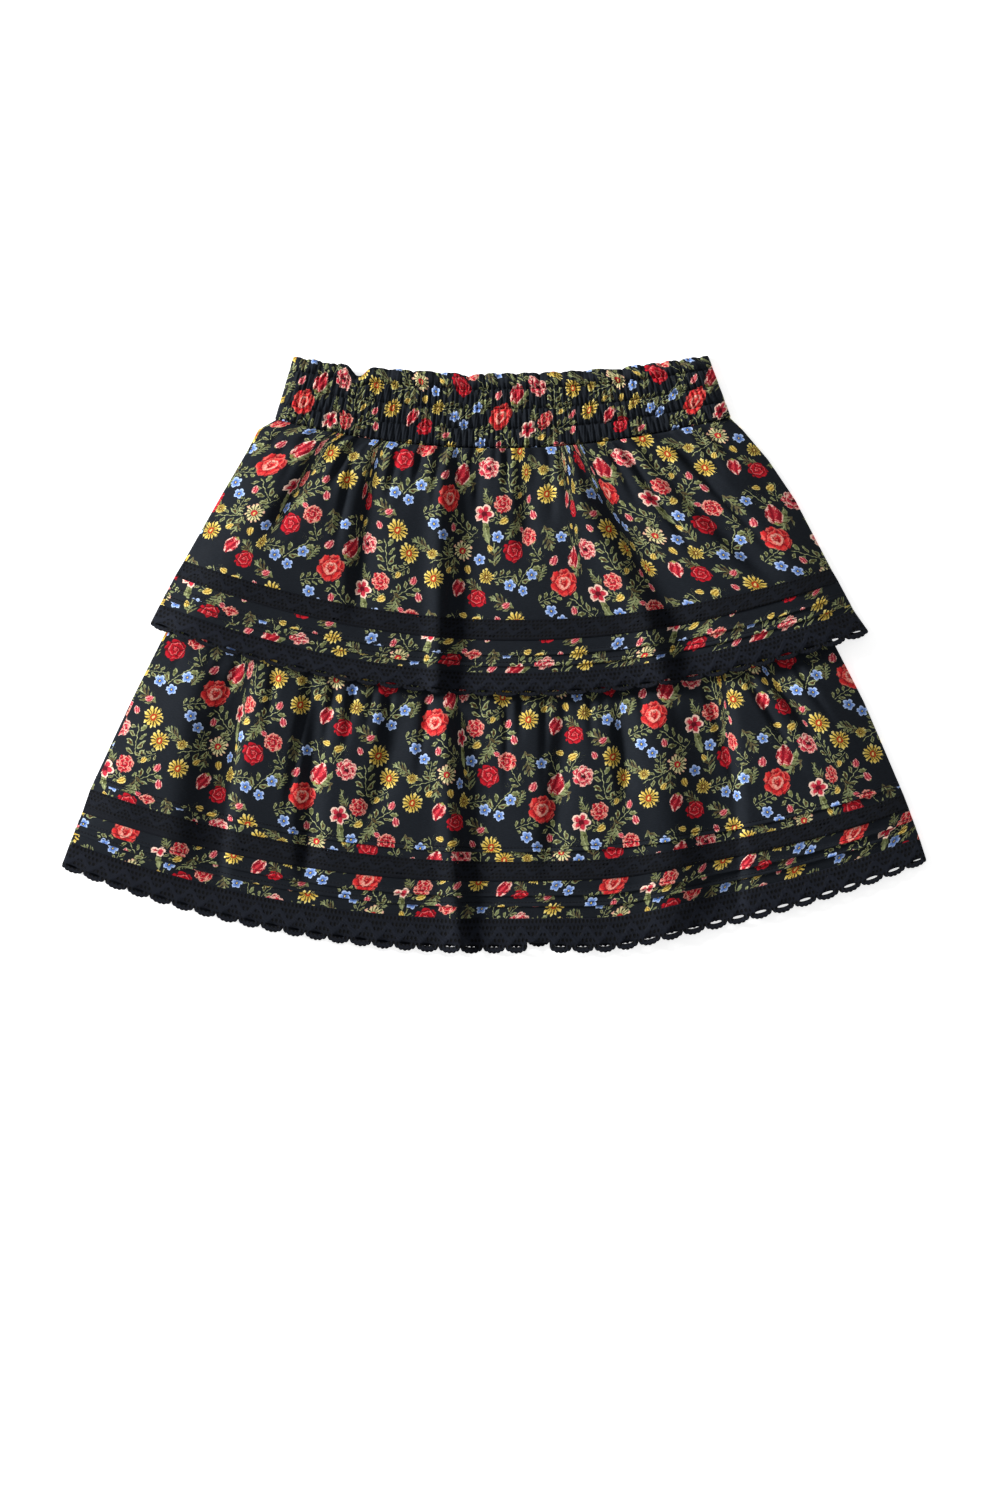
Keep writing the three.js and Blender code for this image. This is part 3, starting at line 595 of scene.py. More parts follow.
class Look:
    """A material: its nodes, and what they feed on its shader."""

    def __init__(self, name, roughness, **constants):
        self.material = bpy.data.materials.new(name)
        self.material.use_nodes = True
        self.tree = self.material.node_tree
        self.shader = self.tree.nodes["Principled BSDF"]
        self.shader.inputs["Roughness"].default_value = roughness
        self.shader.inputs["Specular IOR Level"].default_value = MATT_SPECULAR
        for socket, value in constants.items():
            self.shader.inputs[socket.replace("_", " ")].default_value = value

    def node(self, kind, settings=None, inputs=(), output=0):
        node = self.tree.nodes.new(kind)
        for name, value in (settings or {}).items():
            if name == "stops":
                self.set_stops(node.color_ramp, value)
            else:
                setattr(node, name, value)
        pairs = inputs.items() if isinstance(inputs, dict) else enumerate(inputs)
        for key, value in pairs:
            if isinstance(value, Value):
                self.tree.links.new(value.socket, node.inputs[key])
            else:
                node.inputs[key].default_value = value
        return Value(self, node.outputs[output])

    @staticmethod
    def set_stops(ramp, stops):
        ramp.interpolation = "CONSTANT"
        while len(ramp.elements) < len(stops):
            ramp.elements.new(1)
        for element, (position, colour) in zip(ramp.elements, stops):
            element.position = position
            element.color = colour

    def attribute(self, name):
        return self.node("ShaderNodeAttribute", {"attribute_name": name}, output="Vector")

    def split(self, vector):
        node = self.node("ShaderNodeSeparateXYZ", None, [vector]).socket.node
        return [Value(self, socket) for socket in node.outputs]

    def join(self, x, y, z):
        return self.node("ShaderNodeCombineXYZ", None, [x, y, z])

    def noise(self, vector, scale, detail=2.0, roughness=0.5):
        inputs = {"Vector": vector, "Scale": scale, "Detail": detail, "Roughness": roughness}
        return self.node("ShaderNodeTexNoise", None, inputs)

    def lot(self, number):
        """A chance value between 0 and 1, the same for the same number."""
        return self.node("ShaderNodeTexWhiteNoise", {"noise_dimensions": "1D"}, {"W": number})

    def edge(self, value, low, high):
        inputs = {"Value": value, "From Min": low, "From Max": high}
        return self.node("ShaderNodeMapRange", {"interpolation_type": "SMOOTHSTEP"}, inputs)

    def mix(self, factor, under, over):
        return self.node("ShaderNodeMix", {"data_type": "RGBA"}, {0: factor, 6: under, 7: over}, 2)

    def choose(self, factor, under, over):
        return self.node("ShaderNodeMix", {"data_type": "FLOAT"}, {0: factor, 2: under, 3: over}, 0)

    def feed(self, socket, value):
        self.tree.links.new(value.socket, self.shader.inputs[socket])

    def bump(self, height, distance):
        inputs = {"Height": height, "Distance": distance, "Strength": 1.0}
        self.feed("Normal", self.node("ShaderNodeBump", None, inputs))


def screen(red, green, blue):
    """A colour read on a screen, 0 to 255, as the shader takes it."""
    linear = [(part / 255 / 12.92) if part < 10.3 else ((part / 255 + 0.055) / 1.055) ** 2.4
              for part in (red, green, blue)]
    return (*linear, 1.0)


KINDS = 16

# Colours of each kind of flower: its shadow, its petals, their light edge and its heart.
SCREEN_PALETTE = {
    RED_ROSE: ((96, 6, 20), (194, 18, 36), (236, 112, 112), (214, 66, 70)),
    CORAL_ROSE: ((140, 14, 28), (224, 46, 48), (246, 140, 122), (246, 182, 162)),
    POPPY: ((132, 8, 30), (214, 58, 78), (252, 206, 188), (54, 12, 22)),
    CARNATION: ((112, 8, 28), (202, 26, 46), (246, 172, 152), (216, 96, 98)),
    BLOSSOM: ((136, 10, 32), (212, 52, 72), (252, 216, 196), (92, 10, 26)),
    FORGET_ME_NOT: ((58, 86, 156), (116, 154, 222), (186, 208, 248), (48, 26, 48)),
    DAISY: ((112, 76, 20), (228, 194, 86), (252, 238, 152), (176, 56, 24)),
    SMALL_DAISY: ((112, 82, 26), (214, 186, 86), (246, 230, 148), (108, 68, 24)),
    ASTER: ((112, 104, 58), (226, 218, 160), (244, 172, 154), (190, 36, 44)),
    TULIP: ((134, 10, 32), (214, 50, 64), (252, 208, 192), (150, 150, 84)),
    YELLOW_BUD: ((140, 102, 32), (230, 196, 90), (250, 232, 150), (128, 132, 70)),
    PINK_BUD: ((156, 26, 50), (230, 96, 106), (252, 218, 202), (128, 132, 70)),
}
PALETTE = {kind: [screen(*colour) for colour in colours]
           for kind, colours in SCREEN_PALETTE.items()}


def palette(look, code, part):
    first = PALETTE[RED_ROSE][part]
    stops = [(0, first)] + [((kind - 0.5) / KINDS, PALETTE[kind][part]) for kind in sorted(PALETTE)]
    return look.node("ShaderNodeValToRGB", {"stops": stops}, [code / KINDS])


def by_family(look, code, rose, lobed, rayed, oval):
    """One of four values: by the family that the kind of flower belongs to."""
    small = look.choose(code > CARNATION + 0.5, rose, lobed)
    ray = look.choose(code > FORGET_ME_NOT + 0.5, small, rayed)
    return look.choose(code > ASTER + 0.5, ray, oval)


def bent(look, layer, amount):
    """A motif's own x and y, bent as if painted by hand, and its code."""
    place = look.attribute(layer)
    x, y, code = look.split(place)
    brush = {"Vector": place, "Scale": 0.33, "Detail": 2.0}
    wander = look.node("ShaderNodeTexNoise", None, brush, "Color")
    wander_x, wander_y, _ = look.split(wander)
    return place, x + (wander_x - 0.5) * amount, y + (wander_y - 0.5) * amount, code


def paint_blooms(look, under):
    place, x, y, code = bent(look, "bloom", 4.0)
    fuzz = look.noise(place, 0.34, 3.0, 0.6) - 0.5
    fine = look.noise(place, 1.1, 2.0, 0.6) - 0.5
    mottle = look.noise(place, 0.8, 3.0, 0.7)
    far = (x * x + y * y) ** 0.5
    angle = y.math("ARCTAN2", x)
    is_poppy = code.math("COMPARE", POPPY, 0.45)

    # Roses and their like: petals wind round the heart, inside a lobed rim.
    is_coral = code.math("COMPARE", CORAL_ROSE, 0.45)
    is_fringed = code > CORAL_ROSE + 0.5
    outer = abs((angle * 3 + code * 90 + fuzz * 3).math("SINE"))
    rim = 7.6 + outer ** 0.5 * 1.9 + fuzz * 2.4 + fine * is_fringed * 2.4
    rose_in = look.edge(rim - far, 0, 0.5)
    winding = (far * 0.25 + angle / math.tau + outer * 0.22 + fuzz * 0.6).math("FRACT")
    between = look.edge(outer, 0.4, 0.1) * look.edge(far, 4.4, 5.8)
    rose_shade = winding ** 0.8 * 1.2 + fine * 1.4 - look.edge(far, 2.6, 0.5) * 0.5 - between * 0.8
    lit_rim = look.edge(rim - far + fuzz * 8, 1.3, 0.3) * (is_fringed + is_coral * 0.45)
    wave = (angle * 5 + code * 50 + fuzz * 9).math("SINE") * 0.3 + mottle
    streaks = look.edge(wave, 0.7, 0.84) * look.edge(far + fine * 3, 2.8, 4.6) * is_fringed
    arcs = look.edge(winding + fine * 0.8, 0.76, 0.92) * look.edge(far, 8.6, 6.6)
    rose_tip = lit_rim.math("MAXIMUM", streaks).math("MAXIMUM", arcs * (0.85 - is_coral * 0.35))
    stamens = look.edge(far + fine * 3, 2.4, 1.5)
    ring = look.edge(abs(far - 3.5 + fine * 1.5), 1.2, 0.4) * look.edge(mottle, 0.36, 0.56)
    rose_heart = look.choose(is_coral, look.choose(is_poppy, look.edge(far, 1.4, 0.6), stamens), ring)

    # Small flowers of five round petals.
    petal = abs((angle * 2.5).math("COSINE"))
    lobe = 5.2 + petal ** 0.6 * 4.4 + fuzz * 2.6
    lobe_in = look.edge(lobe - far, 0, 0.5)
    lobe_shade = petal * 0.6 + far * 0.06 + fine * 2 - 0.1
    lobe_tip = look.edge(far - lobe + fine * 4 + mottle * 2, -2.4, -0.2)
    lobe_heart = look.edge(far + fine * 2, 2.6, 1.9)

    # Daisies: fourteen narrow petals, no two of a length.
    turns = angle * (14 / math.tau)
    own = look.lot(turns.math("FLOOR") + code * 100)
    beside = abs(turns.math("FRACT") - 0.5) * 2
    length = 7.2 + own * 2.8
    room = (length - far) * 0.5
    ray_in = look.edge(room.math("MINIMUM", 0.72 - fuzz * 0.4) - beside, 0, 0.1)
    ray_shade = 1.15 - beside * 0.7 - (7 - far).math("MAXIMUM", 0) * 0.12 + fine
    ray_tip = look.edge(far + fine * 3, 6.4, 8.4) * 0.75
    ray_heart = look.edge(far + fine, 3.0, 2.6)
    ray_in = ray_in.math("MAXIMUM", ray_heart)

    # Tulips and buds: streaks run up an egg.
    wide = 6.6 - (y + 2) * (y + 2) * 0.022
    egg = (x * x) / (wide * wide) + (y * y) / 92 + fuzz * 0.5
    oval_in = look.edge(egg, 1.04, 0.94)
    streak = (x * 1.25 + (y * 0.35 + code * 50).math("SINE") + fuzz * 4).math("SINE")
    oval_shade = streak * 0.45 + 0.55 + fine
    oval_tip = look.edge(egg * 0.4 + streak * 0.16 + mottle * 1.3, 0.92, 1.06)
    oval_heart = look.edge(y + fuzz * 3 + abs(x) * 0.5, -6.2, -7.2)

    inside, shade, tip, heart = (by_family(look, code, *values) for values in (
        (rose_in, lobe_in, ray_in, oval_in),
        (rose_shade, lobe_shade, ray_shade, oval_shade),
        (rose_tip, lobe_tip, ray_tip, oval_tip),
        (rose_heart, lobe_heart, ray_heart, oval_heart),
    ))
    shadow, petals, light, centre = (palette(look, code, part) for part in range(4))
    colour = look.mix(look.edge(shade, 0, 1), shadow, petals)
    colour = look.mix(tip, colour, light)
    colour = look.mix(heart, colour, centre)
    is_eyed = (code > BLOSSOM + 0.5) * (code < ASTER + 0.5)
    colour = look.mix(look.edge(far, 1.3, 0.9) * is_eyed, colour, FLOWER_EYE)
    return look.mix(inside, under, colour)


LEAF_GREEN = screen(98, 103, 58)
LEAF_LIGHT = screen(192, 197, 142)
LEAF_SAGE = screen(120, 129, 88)
LEAF_DARK = screen(50, 54, 30)
LEAF_BROWN = screen(70, 42, 28)
FLOWER_EYE = screen(226, 206, 120)


def leaflets(look, x, y, code, bend, sway, lean, stagger, apart, lots, height):
    """Leaflets that lean up on both sides of a bent stem: how far out from the stem, the chance
    value of the leaflet there, and how far up or down from the leaflet's middle."""
    off = x - (y * bend).math("SINE") * sway
    out = abs(off)
    side = off.math("SIGN")
    step = (y + 20 - out * lean + side * stagger) / apart
    own = look.lot(step.math("FLOOR") * lots[0] + side + code * lots[1])
    return out, own, abs((step.math("FRACT") - 0.5) * height)


def paint_leaves(look, under, layer):
    place, x, y, code = bent(look, layer, 3.0)
    fuzz = look.noise(place, 0.5, 2.0) - 0.5
    far = (x * x + y * y) ** 0.5

    # A sprig: small dark-hearted leaves lean up on both sides of a bent stem.
    out, own, up = leaflets(look, x, y, code, bend=0.22, sway=1.6, lean=0.8, stagger=1.3,
                            apart=5.6, lots=(3, 70), height=4.4)
    along = (out - 3.2 - own * 0.8) / (1.9 + own * 0.9)
    leaf = 1.4 - along * along * 1.4 - up + fuzz * 1.1
    within = look.edge(abs(y + fuzz), 10.2, 9.6)
    sprig_in = look.edge(leaf, 0, 0.2) * within * (own > 0.22)
    stem = look.edge(out + fuzz * 0.2, 0.3, 0.16) * within
    sprig_light = look.edge(leaf + fuzz, 0.75, 0.3)
    sprig_brown = look.edge(leaf, 0.75, 1.1) * look.edge(own, 0.35, 0.6)

    # A feathered leaf: pointed lobes lean up on both sides of its rib, longest in the middle.
    out, lobe, up = leaflets(look, x, y, code, bend=0.2, sway=0.8, lean=0.9, stagger=0.6,
                             apart=3.4, lots=(5, 90), height=2.5)
    long = ((y + 9.5) * (math.pi / 19)).math("SINE").math("MAXIMUM", 0) ** 0.7 * (3.8 + lobe * 3)
    share = (out / (long + 0.01)).math("MINIMUM", 1)
    thick = 0.15 + (share * 2.7 + 0.45).math("SINE") * 0.72 + fuzz * 1.2
    fern_in = look.edge(thick - up, 0, 0.2) * look.edge(long - out, 0, 0.3) * (lobe > 0.16)
    rib = look.edge(out, 0.5, 0.3) * look.edge(abs(y), 9.5, 9)
    fern_in = fern_in.math("MAXIMUM", rib)
    fern_light = look.edge(thick - up, 0.5, 0.2) * 0.85
    fern_brown = look.edge(lobe, 0.55, 0.7) * look.edge(share, 0.8, 0.4) * 0.75

    # A long blade with a rib down it.
    lean = x - (y * 0.16).math("SINE") * 2.2
    blade = 2.7 - y * y * 0.03 - abs(lean) + fuzz * 0.5
    blade_in = look.edge(blade, 0, 0.3)
    blade_light = look.edge(abs(lean), 0.42, 0.2) + (lean > 0) * 0.3 + look.edge(blade, 0.5, 0.2) * 0.5

    is_fern = code > FERN - 0.5
    is_blade = code > BLADE - 0.5
    inside, light, brown = (
        look.choose(is_blade, look.choose(is_fern, sprig, fern), blade) for sprig, fern, blade in (
            (sprig_in.math("MAXIMUM", stem), fern_in, blade_in),
            (sprig_light, fern_light, blade_light),
            (sprig_brown, fern_brown, 0),
        ))
    tone = look.noise(place, 0.23, 1.0)
    green = look.mix(look.edge(tone, 0.35, 0.65), LEAF_GREEN, LEAF_SAGE)
    green = look.mix(look.edge(tone + fuzz * 0.6, 0.46, 0.28), green, LEAF_DARK)
    shine = look.edge(look.noise(place, 0.7, 2.0), 0.4, 0.62)
    colour = look.mix(light.math("MINIMUM", 1) * (0.25 + shine * 0.75), green, LEAF_LIGHT)
    colour = look.mix(brown, colour, LEAF_BROWN)
    return look.mix(inside * look.edge(far, 12.5, 11.5), under, colour)


GROUND_SHADE, GROUND_CLOTH = screen(15, 19, 25), screen(28, 34, 42)
REVERSE_CLOTH, REVERSE_TINT = screen(40, 42, 48), screen(74, 58, 54)
PLAIN_SHADE, PLAIN_CLOTH = screen(20, 22, 28), screen(28, 31, 38)
LACE_SHADE, NET_THREAD, EDGING_THREAD = screen(3, 4, 6), screen(18, 22, 31), screen(22, 26, 36)
THREAD_SHADE, THREAD_LIGHT = screen(12, 13, 17), screen(26, 28, 34)
WEAVE_RELIEF = 0.00012
THREAD_SPACING = 0.62
SCALLOP_LENGTH = 15.6
LACE_RELIEF = 0.0007
THREAD_RELIEF = 0.00005


def weave(look):
    """The height of the threads and slubs of plain cotton."""
    cloth = look.attribute("cloth")
    u, v, _ = look.split(cloth)
    beat = math.tau / THREAD_SPACING
    threads = (u * beat).math("SINE") * (v * beat).math("SINE")
    slubs = look.noise(look.join(u * 0.35, v * 2.2, 0), 1.0, 3.0)
    return threads * 0.35 + slubs


def printed_cotton():
    look = Look("printed cotton", 0.78)
    height = weave(look)
    ground = look.mix(look.edge(height, 0.2, 0.9), GROUND_SHADE, GROUND_CLOTH)
    cloth = look.attribute("cloth")
    colour = paint_leaves(look, ground, "under leaf")
    colour = paint_leaves(look, colour, "leaf")
    colour = paint_blooms(look, colour)
    look.feed("Base Color", colour)
    look.feed("Roughness", 0.72 + look.noise(cloth, 0.12) * 0.14)
    look.bump(height, WEAVE_RELIEF)
    return look.material


def cotton_reverse():
    """The wrong side of the print: the ground, paler and with the flowers only as a tint."""
    look = Look("cotton reverse", 0.85)
    height = weave(look)
    patches = look.noise(look.attribute("cloth"), 0.11, 3.0)
    colour = look.mix(look.edge(patches, 0.55, 0.75), REVERSE_CLOTH, REVERSE_TINT)
    look.feed("Base Color", colour)
    look.bump(height, WEAVE_RELIEF)
    return look.material


def plain_cotton():
    look = Look("plain dark cotton", 0.85)
    height = weave(look)
    look.feed("Base Color", look.mix(look.edge(height, 0.2, 0.9), PLAIN_SHADE, PLAIN_CLOTH))
    look.bump(height, WEAVE_RELIEF)
    return look.material


def lace_threads(look, depth):
    """The height of crocheted cotton, and where its small holes are. Depth is the strip's width."""
    u, v, _ = look.split(look.attribute("cloth"))
    wobble = look.noise(look.attribute("cloth"), 0.9, 2.0) - 0.5
    uneven = look.noise(look.attribute("cloth"), 0.35, 2.0)
    pitch = depth / 5.6
    row = (v / pitch).math("FLOOR")
    cell_u = (u / 2.8 + row * 0.5 + wobble * 0.3).math("FRACT") - 0.5
    cell_v = (v / pitch + wobble * 0.3).math("FRACT") - 0.5
    ring = (cell_u * cell_u + cell_v * cell_v) ** 0.5
    trail = (u * (math.tau / SCALLOP_LENGTH)).math("SINE") * (depth * 0.16)
    near = abs(v - depth * 0.48 - trail)
    net = look.edge(near, depth * 0.06, depth * 0.14)
    edges = look.edge(v, 0.5, 1.2) * look.edge(depth - v, 0.5, 1.2)
    hole = look.edge(ring + wobble * 0.15 + uneven * 0.2, 0.44, 0.34) * net * edges
    ribs = (u * (math.tau / 0.9) + v * 2).math("SINE") * 0.12
    return 1 - hole + ribs + wobble * 0.4 - net * 0.25, hole


def cotton_lace(name, depth, is_open):
    look = Look(name, 0.8)
    height, hole = lace_threads(look, depth)
    thread = NET_THREAD if is_open else EDGING_THREAD
    look.feed("Base Color", look.mix(look.edge(height, 0.2, 1.05), LACE_SHADE, thread))
    if is_open:
        some = look.edge(look.noise(look.attribute("cloth"), 0.11), 0.6, 0.66)
        look.feed("Alpha", 1 - look.edge(hole, 0.6, 0.9) * some)
    look.bump(height, LACE_RELIEF)
    return look.material


def sewing_thread():
    look = Look("sewing thread", 0.6)
    position = look.node("ShaderNodeTexCoord", output="Object")
    twist = look.noise(position, 2600, 1.0)
    look.feed("Base Color", look.mix(twist, THREAD_SHADE, THREAD_LIGHT))
    look.bump(twist, THREAD_RELIEF)
    return look.material


PRINTED = printed_cotton()
REVERSE = cotton_reverse()
PLAIN = plain_cotton()
THREAD = sewing_thread()


def front_and_back(name):
    return [f"{name}_front", f"{name}_back"]


def add_piece(mesh, materials, replaces=(), thickness=None):
    piece = bpy.data.objects.new(mesh.name, mesh)
    bpy.context.scene.collection.objects.link(piece)
    for material in materials:
        mesh.materials.append(material)
    if thickness:
        wall = piece.modifiers.new("wall", "SOLIDIFY")
        wall.thickness = thickness * MM
        wall.offset = -1
        wall.use_even_offset = False
        wall.material_offset = len(materials) - 1
        wall.material_offset_rim = len(materials) - 1
    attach(piece, "root")
    if replaces:
        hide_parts(*replaces)
    return piece


# Gathered tiers, bands and lace strips.

TUCK_DEPTH = 3
TUCK_HEIGHT = 1.3
TUCK_EDGE = 0.2
UPPER_BAND_TUCKS = (0.47, 0.76)
LOWER_BAND_TUCKS = (0.41, 0.66)
LOWER_TIER_TUCKS = (0.945,)
SEAM_ALLOWANCE = 0.6
TUCK_BAND_ROWS = 12
INSERTION_ROWS = 8
TUCK_BAND_PRINT_SHIFT = (31, 47)


def tucked_drops(tier, start, end, steps, tucks):
    """Drops from start to end with extra rows at each pin-tuck, and the drop of each tuck's edge."""
    edges = [start + (end - start) * tuck for tuck in tucks]
    drops = list(np.linspace(start, end, steps + 1))
    for edge in edges:
        near = (-TUCK_DEPTH, -TUCK_DEPTH / 2, -0.5, 0, TUCK_EDGE, 1.2)
        drops = [drop for drop in drops if not -3.2 < (drop - edge) * tier.length < 1.6]
        drops += [edge + offset / tier.length for offset in near]
    return np.array(sorted(drops)), edges


def tuck_relief(tier, drops, edges):
    """How high each row is raised by the tucks, and how much cloth the tucks above it hide."""
    raised, hidden = np.zeros(len(drops)), np.zeros(len(drops))
    for edge in edges:
        past = (drops - edge) * tier.length
        ramp = TUCK_HEIGHT * blend(past, -TUCK_DEPTH, -TUCK_DEPTH / 3)
        raised = raised + np.where(past <= 1e-6, ramp, 0)
        hidden = hidden + np.where(past > 1e-6, 2 * TUCK_DEPTH, 0)
    return raised[:, None], hidden[:, None]


def tier_strip(name, tier, start, end, steps, around, tucks=(), over=0.0, shift=None):
    """A strip of a tier all round. A printed one has its shift on the print."""
    drops, edges = tucked_drops(tier, start, end, steps, tucks)
    places, drop = np.meshgrid(around, drops)
    raised, hidden = tuck_relief(tier, drops, edges)
    points = on_tube(tier, places, drop, raised + over)
    down = run_down(points) + hidden
    if shift is None:
        return cloth_mesh(name, points, np.stack([run_along(points), down], -1), printed=False)
    if start == tier.drop["seam"]:
        along = gathered_cloth(tier, around, drops, points)
    else:
        along = run_along(points)
    return cloth_mesh(name, points, np.stack([along + shift[0], down + shift[1]], -1))


def build_tier(name, tier, front, back, rows, cloth_tucks, band_tucks, shift):
    around = ring(front, back)
    drop = tier.drop
    allowance = SEAM_ALLOWANCE / tier.length
    lap = LACE_OVERLAP / tier.length
    cloth = tier_strip(f"{name}_tier", tier, drop["seam"], drop["insertion top"] + allowance,
                       rows, around, cloth_tucks, shift=shift)
    tier_piece = add_piece(cloth, [PRINTED, REVERSE],
                           front_and_back(f"{name}_tier"), CLOTH_THICKNESS)
    band = tier_strip(f"{name}_tuck_band", tier, drop["insertion bottom"] - allowance,
                      drop["band bottom"] + allowance, TUCK_BAND_ROWS, around, band_tucks,
                      shift=np.add(shift, TUCK_BAND_PRINT_SHIFT))
    band_piece = add_piece(band, [PRINTED, REVERSE],
                           front_and_back(f"{name}_tuck_band"), CLOTH_THICKNESS)
    lace = tier_strip(f"{name}_insertion_lace", tier, drop["insertion top"] - lap,
                      drop["insertion bottom"] + lap, INSERTION_ROWS, around, over=LACE_OVER_CLOTH)
    width = (drop["insertion bottom"] - drop["insertion top"] + 2 * lap) * tier.length
    lace_piece = add_piece(lace, [cotton_lace(f"{name} insertion lace", width, True)],
                           front_and_back(f"{name}_insertion"), LACE_THICKNESS)
    return tier_piece, band_piece, lace_piece


# Scalloped edging: each scallop is a net of faces round its slot.
SCALLOP = {"notch": 0.82, "slot centre": 0.775, "slot length": 0.25, "slot height": 0.038}
SCALLOP_RINGS = 4
SIDE_POINTS, HEAD_POINTS, FOOT_POINTS = 5, 7, 21
PICOTS = 5
PICOT_DEPTH = 0.03
UPPER_SCALLOPS = 31
LOWER_SCALLOPS = 39
TURNED_SCALLOP = 21
TURNED_DOWN = 0.66
TURNED_SHARE = 0.14


def scallop_foot(along):
    """How far down the edge of a scallop is, by its place along it from 0 to 1."""
    swell = np.sin(np.pi * np.clip(along, 0, 1)) ** 0.6
    picot = PICOT_DEPTH * np.abs(np.sin(np.pi * PICOTS * along))
    return SCALLOP["notch"] + (1 - SCALLOP["notch"] - PICOT_DEPTH) * swell + picot


def scallop_net():
    """Along and down for each point of one scallop, from its slot out to its edges."""
    side = np.linspace(SCALLOP["notch"], 0, SIDE_POINTS + 1)[:-1]
    head = np.linspace(1, 0, HEAD_POINTS + 1)[:-1]
    foot = np.linspace(0, 1, FOOT_POINTS)
    outline = np.concatenate([
        np.stack([np.ones_like(side), side], -1),
        np.stack([head, np.zeros_like(head)], -1),
        np.stack([np.zeros_like(side), SCALLOP["notch"] - side], -1),
        np.stack([foot, scallop_foot(foot)], -1),
    ])
    middle = np.array([0.5, SCALLOP["slot centre"]])
    angle = np.arctan2((outline[:, 1] - middle[1]) * 1.6, outline[:, 0] - middle[0])
    size = np.array([SCALLOP["slot length"], SCALLOP["slot height"]])
    slot = middle + np.stack([np.cos(angle), np.sin(angle)], -1) * size
    share = np.linspace(0, 1, SCALLOP_RINGS + 1)[:, None, None]
    return slot * (1 - share) + outline * share


def lace_edging(name, tier, scallops):
    """The scalloped strip, all round the tier's hem."""
    net = scallop_net()
    start = tier.drop["band bottom"] - LACE_OVERLAP / tier.length
    width = (1 - start) * tier.length
    whole = bmesh.new()
    layer = whole.loops.layers.float_vector.new("cloth")
    for number in range(2 * scallops):
        along, down = net[..., 0], net[..., 1]
        if tier.lower and number == TURNED_SCALLOP:
            under = np.maximum(down - TURNED_DOWN, 0)
            down = down - under * (1 - TURNED_SHARE)
        place = number + along
        around = -1 + 2 * place / scallops
        points = on_tube(tier, around, start + (1 - start) * down, LACE_OVER_CLOTH)
        cloth = np.stack([place * SCALLOP_LENGTH, net[..., 1] * width, 0 * along], -1)
        add_net(whole, layer, points, cloth)
    bmesh.ops.remove_doubles(whole, verts=whole.verts, dist=NET_MERGE)
    mesh = mesh_from(whole, name)
    mesh.shade_smooth()
    return mesh, width


def add_net(whole, layer, points, cloth):
    """One grid of faces, with its points at the given places, added to a mesh."""
    rows, columns = points.shape[0] - 1, points.shape[1] - 1
    made = bmesh.ops.create_grid(whole, x_segments=columns, y_segments=rows, size=0.5)["verts"]
    for vert in made:
        spot = round((0.5 - vert.co.y) * rows), round((vert.co.x + 0.5) * columns)
        vert.co = points[spot] * MM
        for corner in vert.link_loops:
            corner[layer] = cloth[spot]


def build_edging(name, tier, scallops):
    mesh, width = lace_edging(f"{name}_lace_edge", tier, scallops)
    return add_piece(mesh, [cotton_lace(f"{name} edging lace", width, False)],
                     front_and_back(f"{name}_lace_edge"), LACE_THICKNESS)


# The shirred waistband.
ELASTIC_ROWS = (0.205, 0.47, 0.735, 1)
SEAM_STITCH_ROW = 0.97
ROW_STEPS = (-0.03, -0.014, 0, 0.014, 0.03)
ROW_REACH = 0.034
BAND_DEPTH = 50
BAND_HALF_WIDTH = 150
PUCKERED_HALF_WIDTH = 158
BAND_ROUNDING = 10
BAND_STEPS = {"front": 520, "back": 170}
BAND_ROWS = 34
BAND_FULLNESS = (1.25, 1.05)
BAND_PRINT_SHIFT = 12
PUCKER_PULL = 0.7
FRILL_WAVE = 1.9
# Dips of the header: x, depth and half width.
HEADER_DIPS = ((-94, 7, 6), (-115, 1.2, 4), (-18, 1.8, 8), (84, 1.2, 6))
FRILL_LENGTH = 17
BAND_BACK_WALL = 2.7


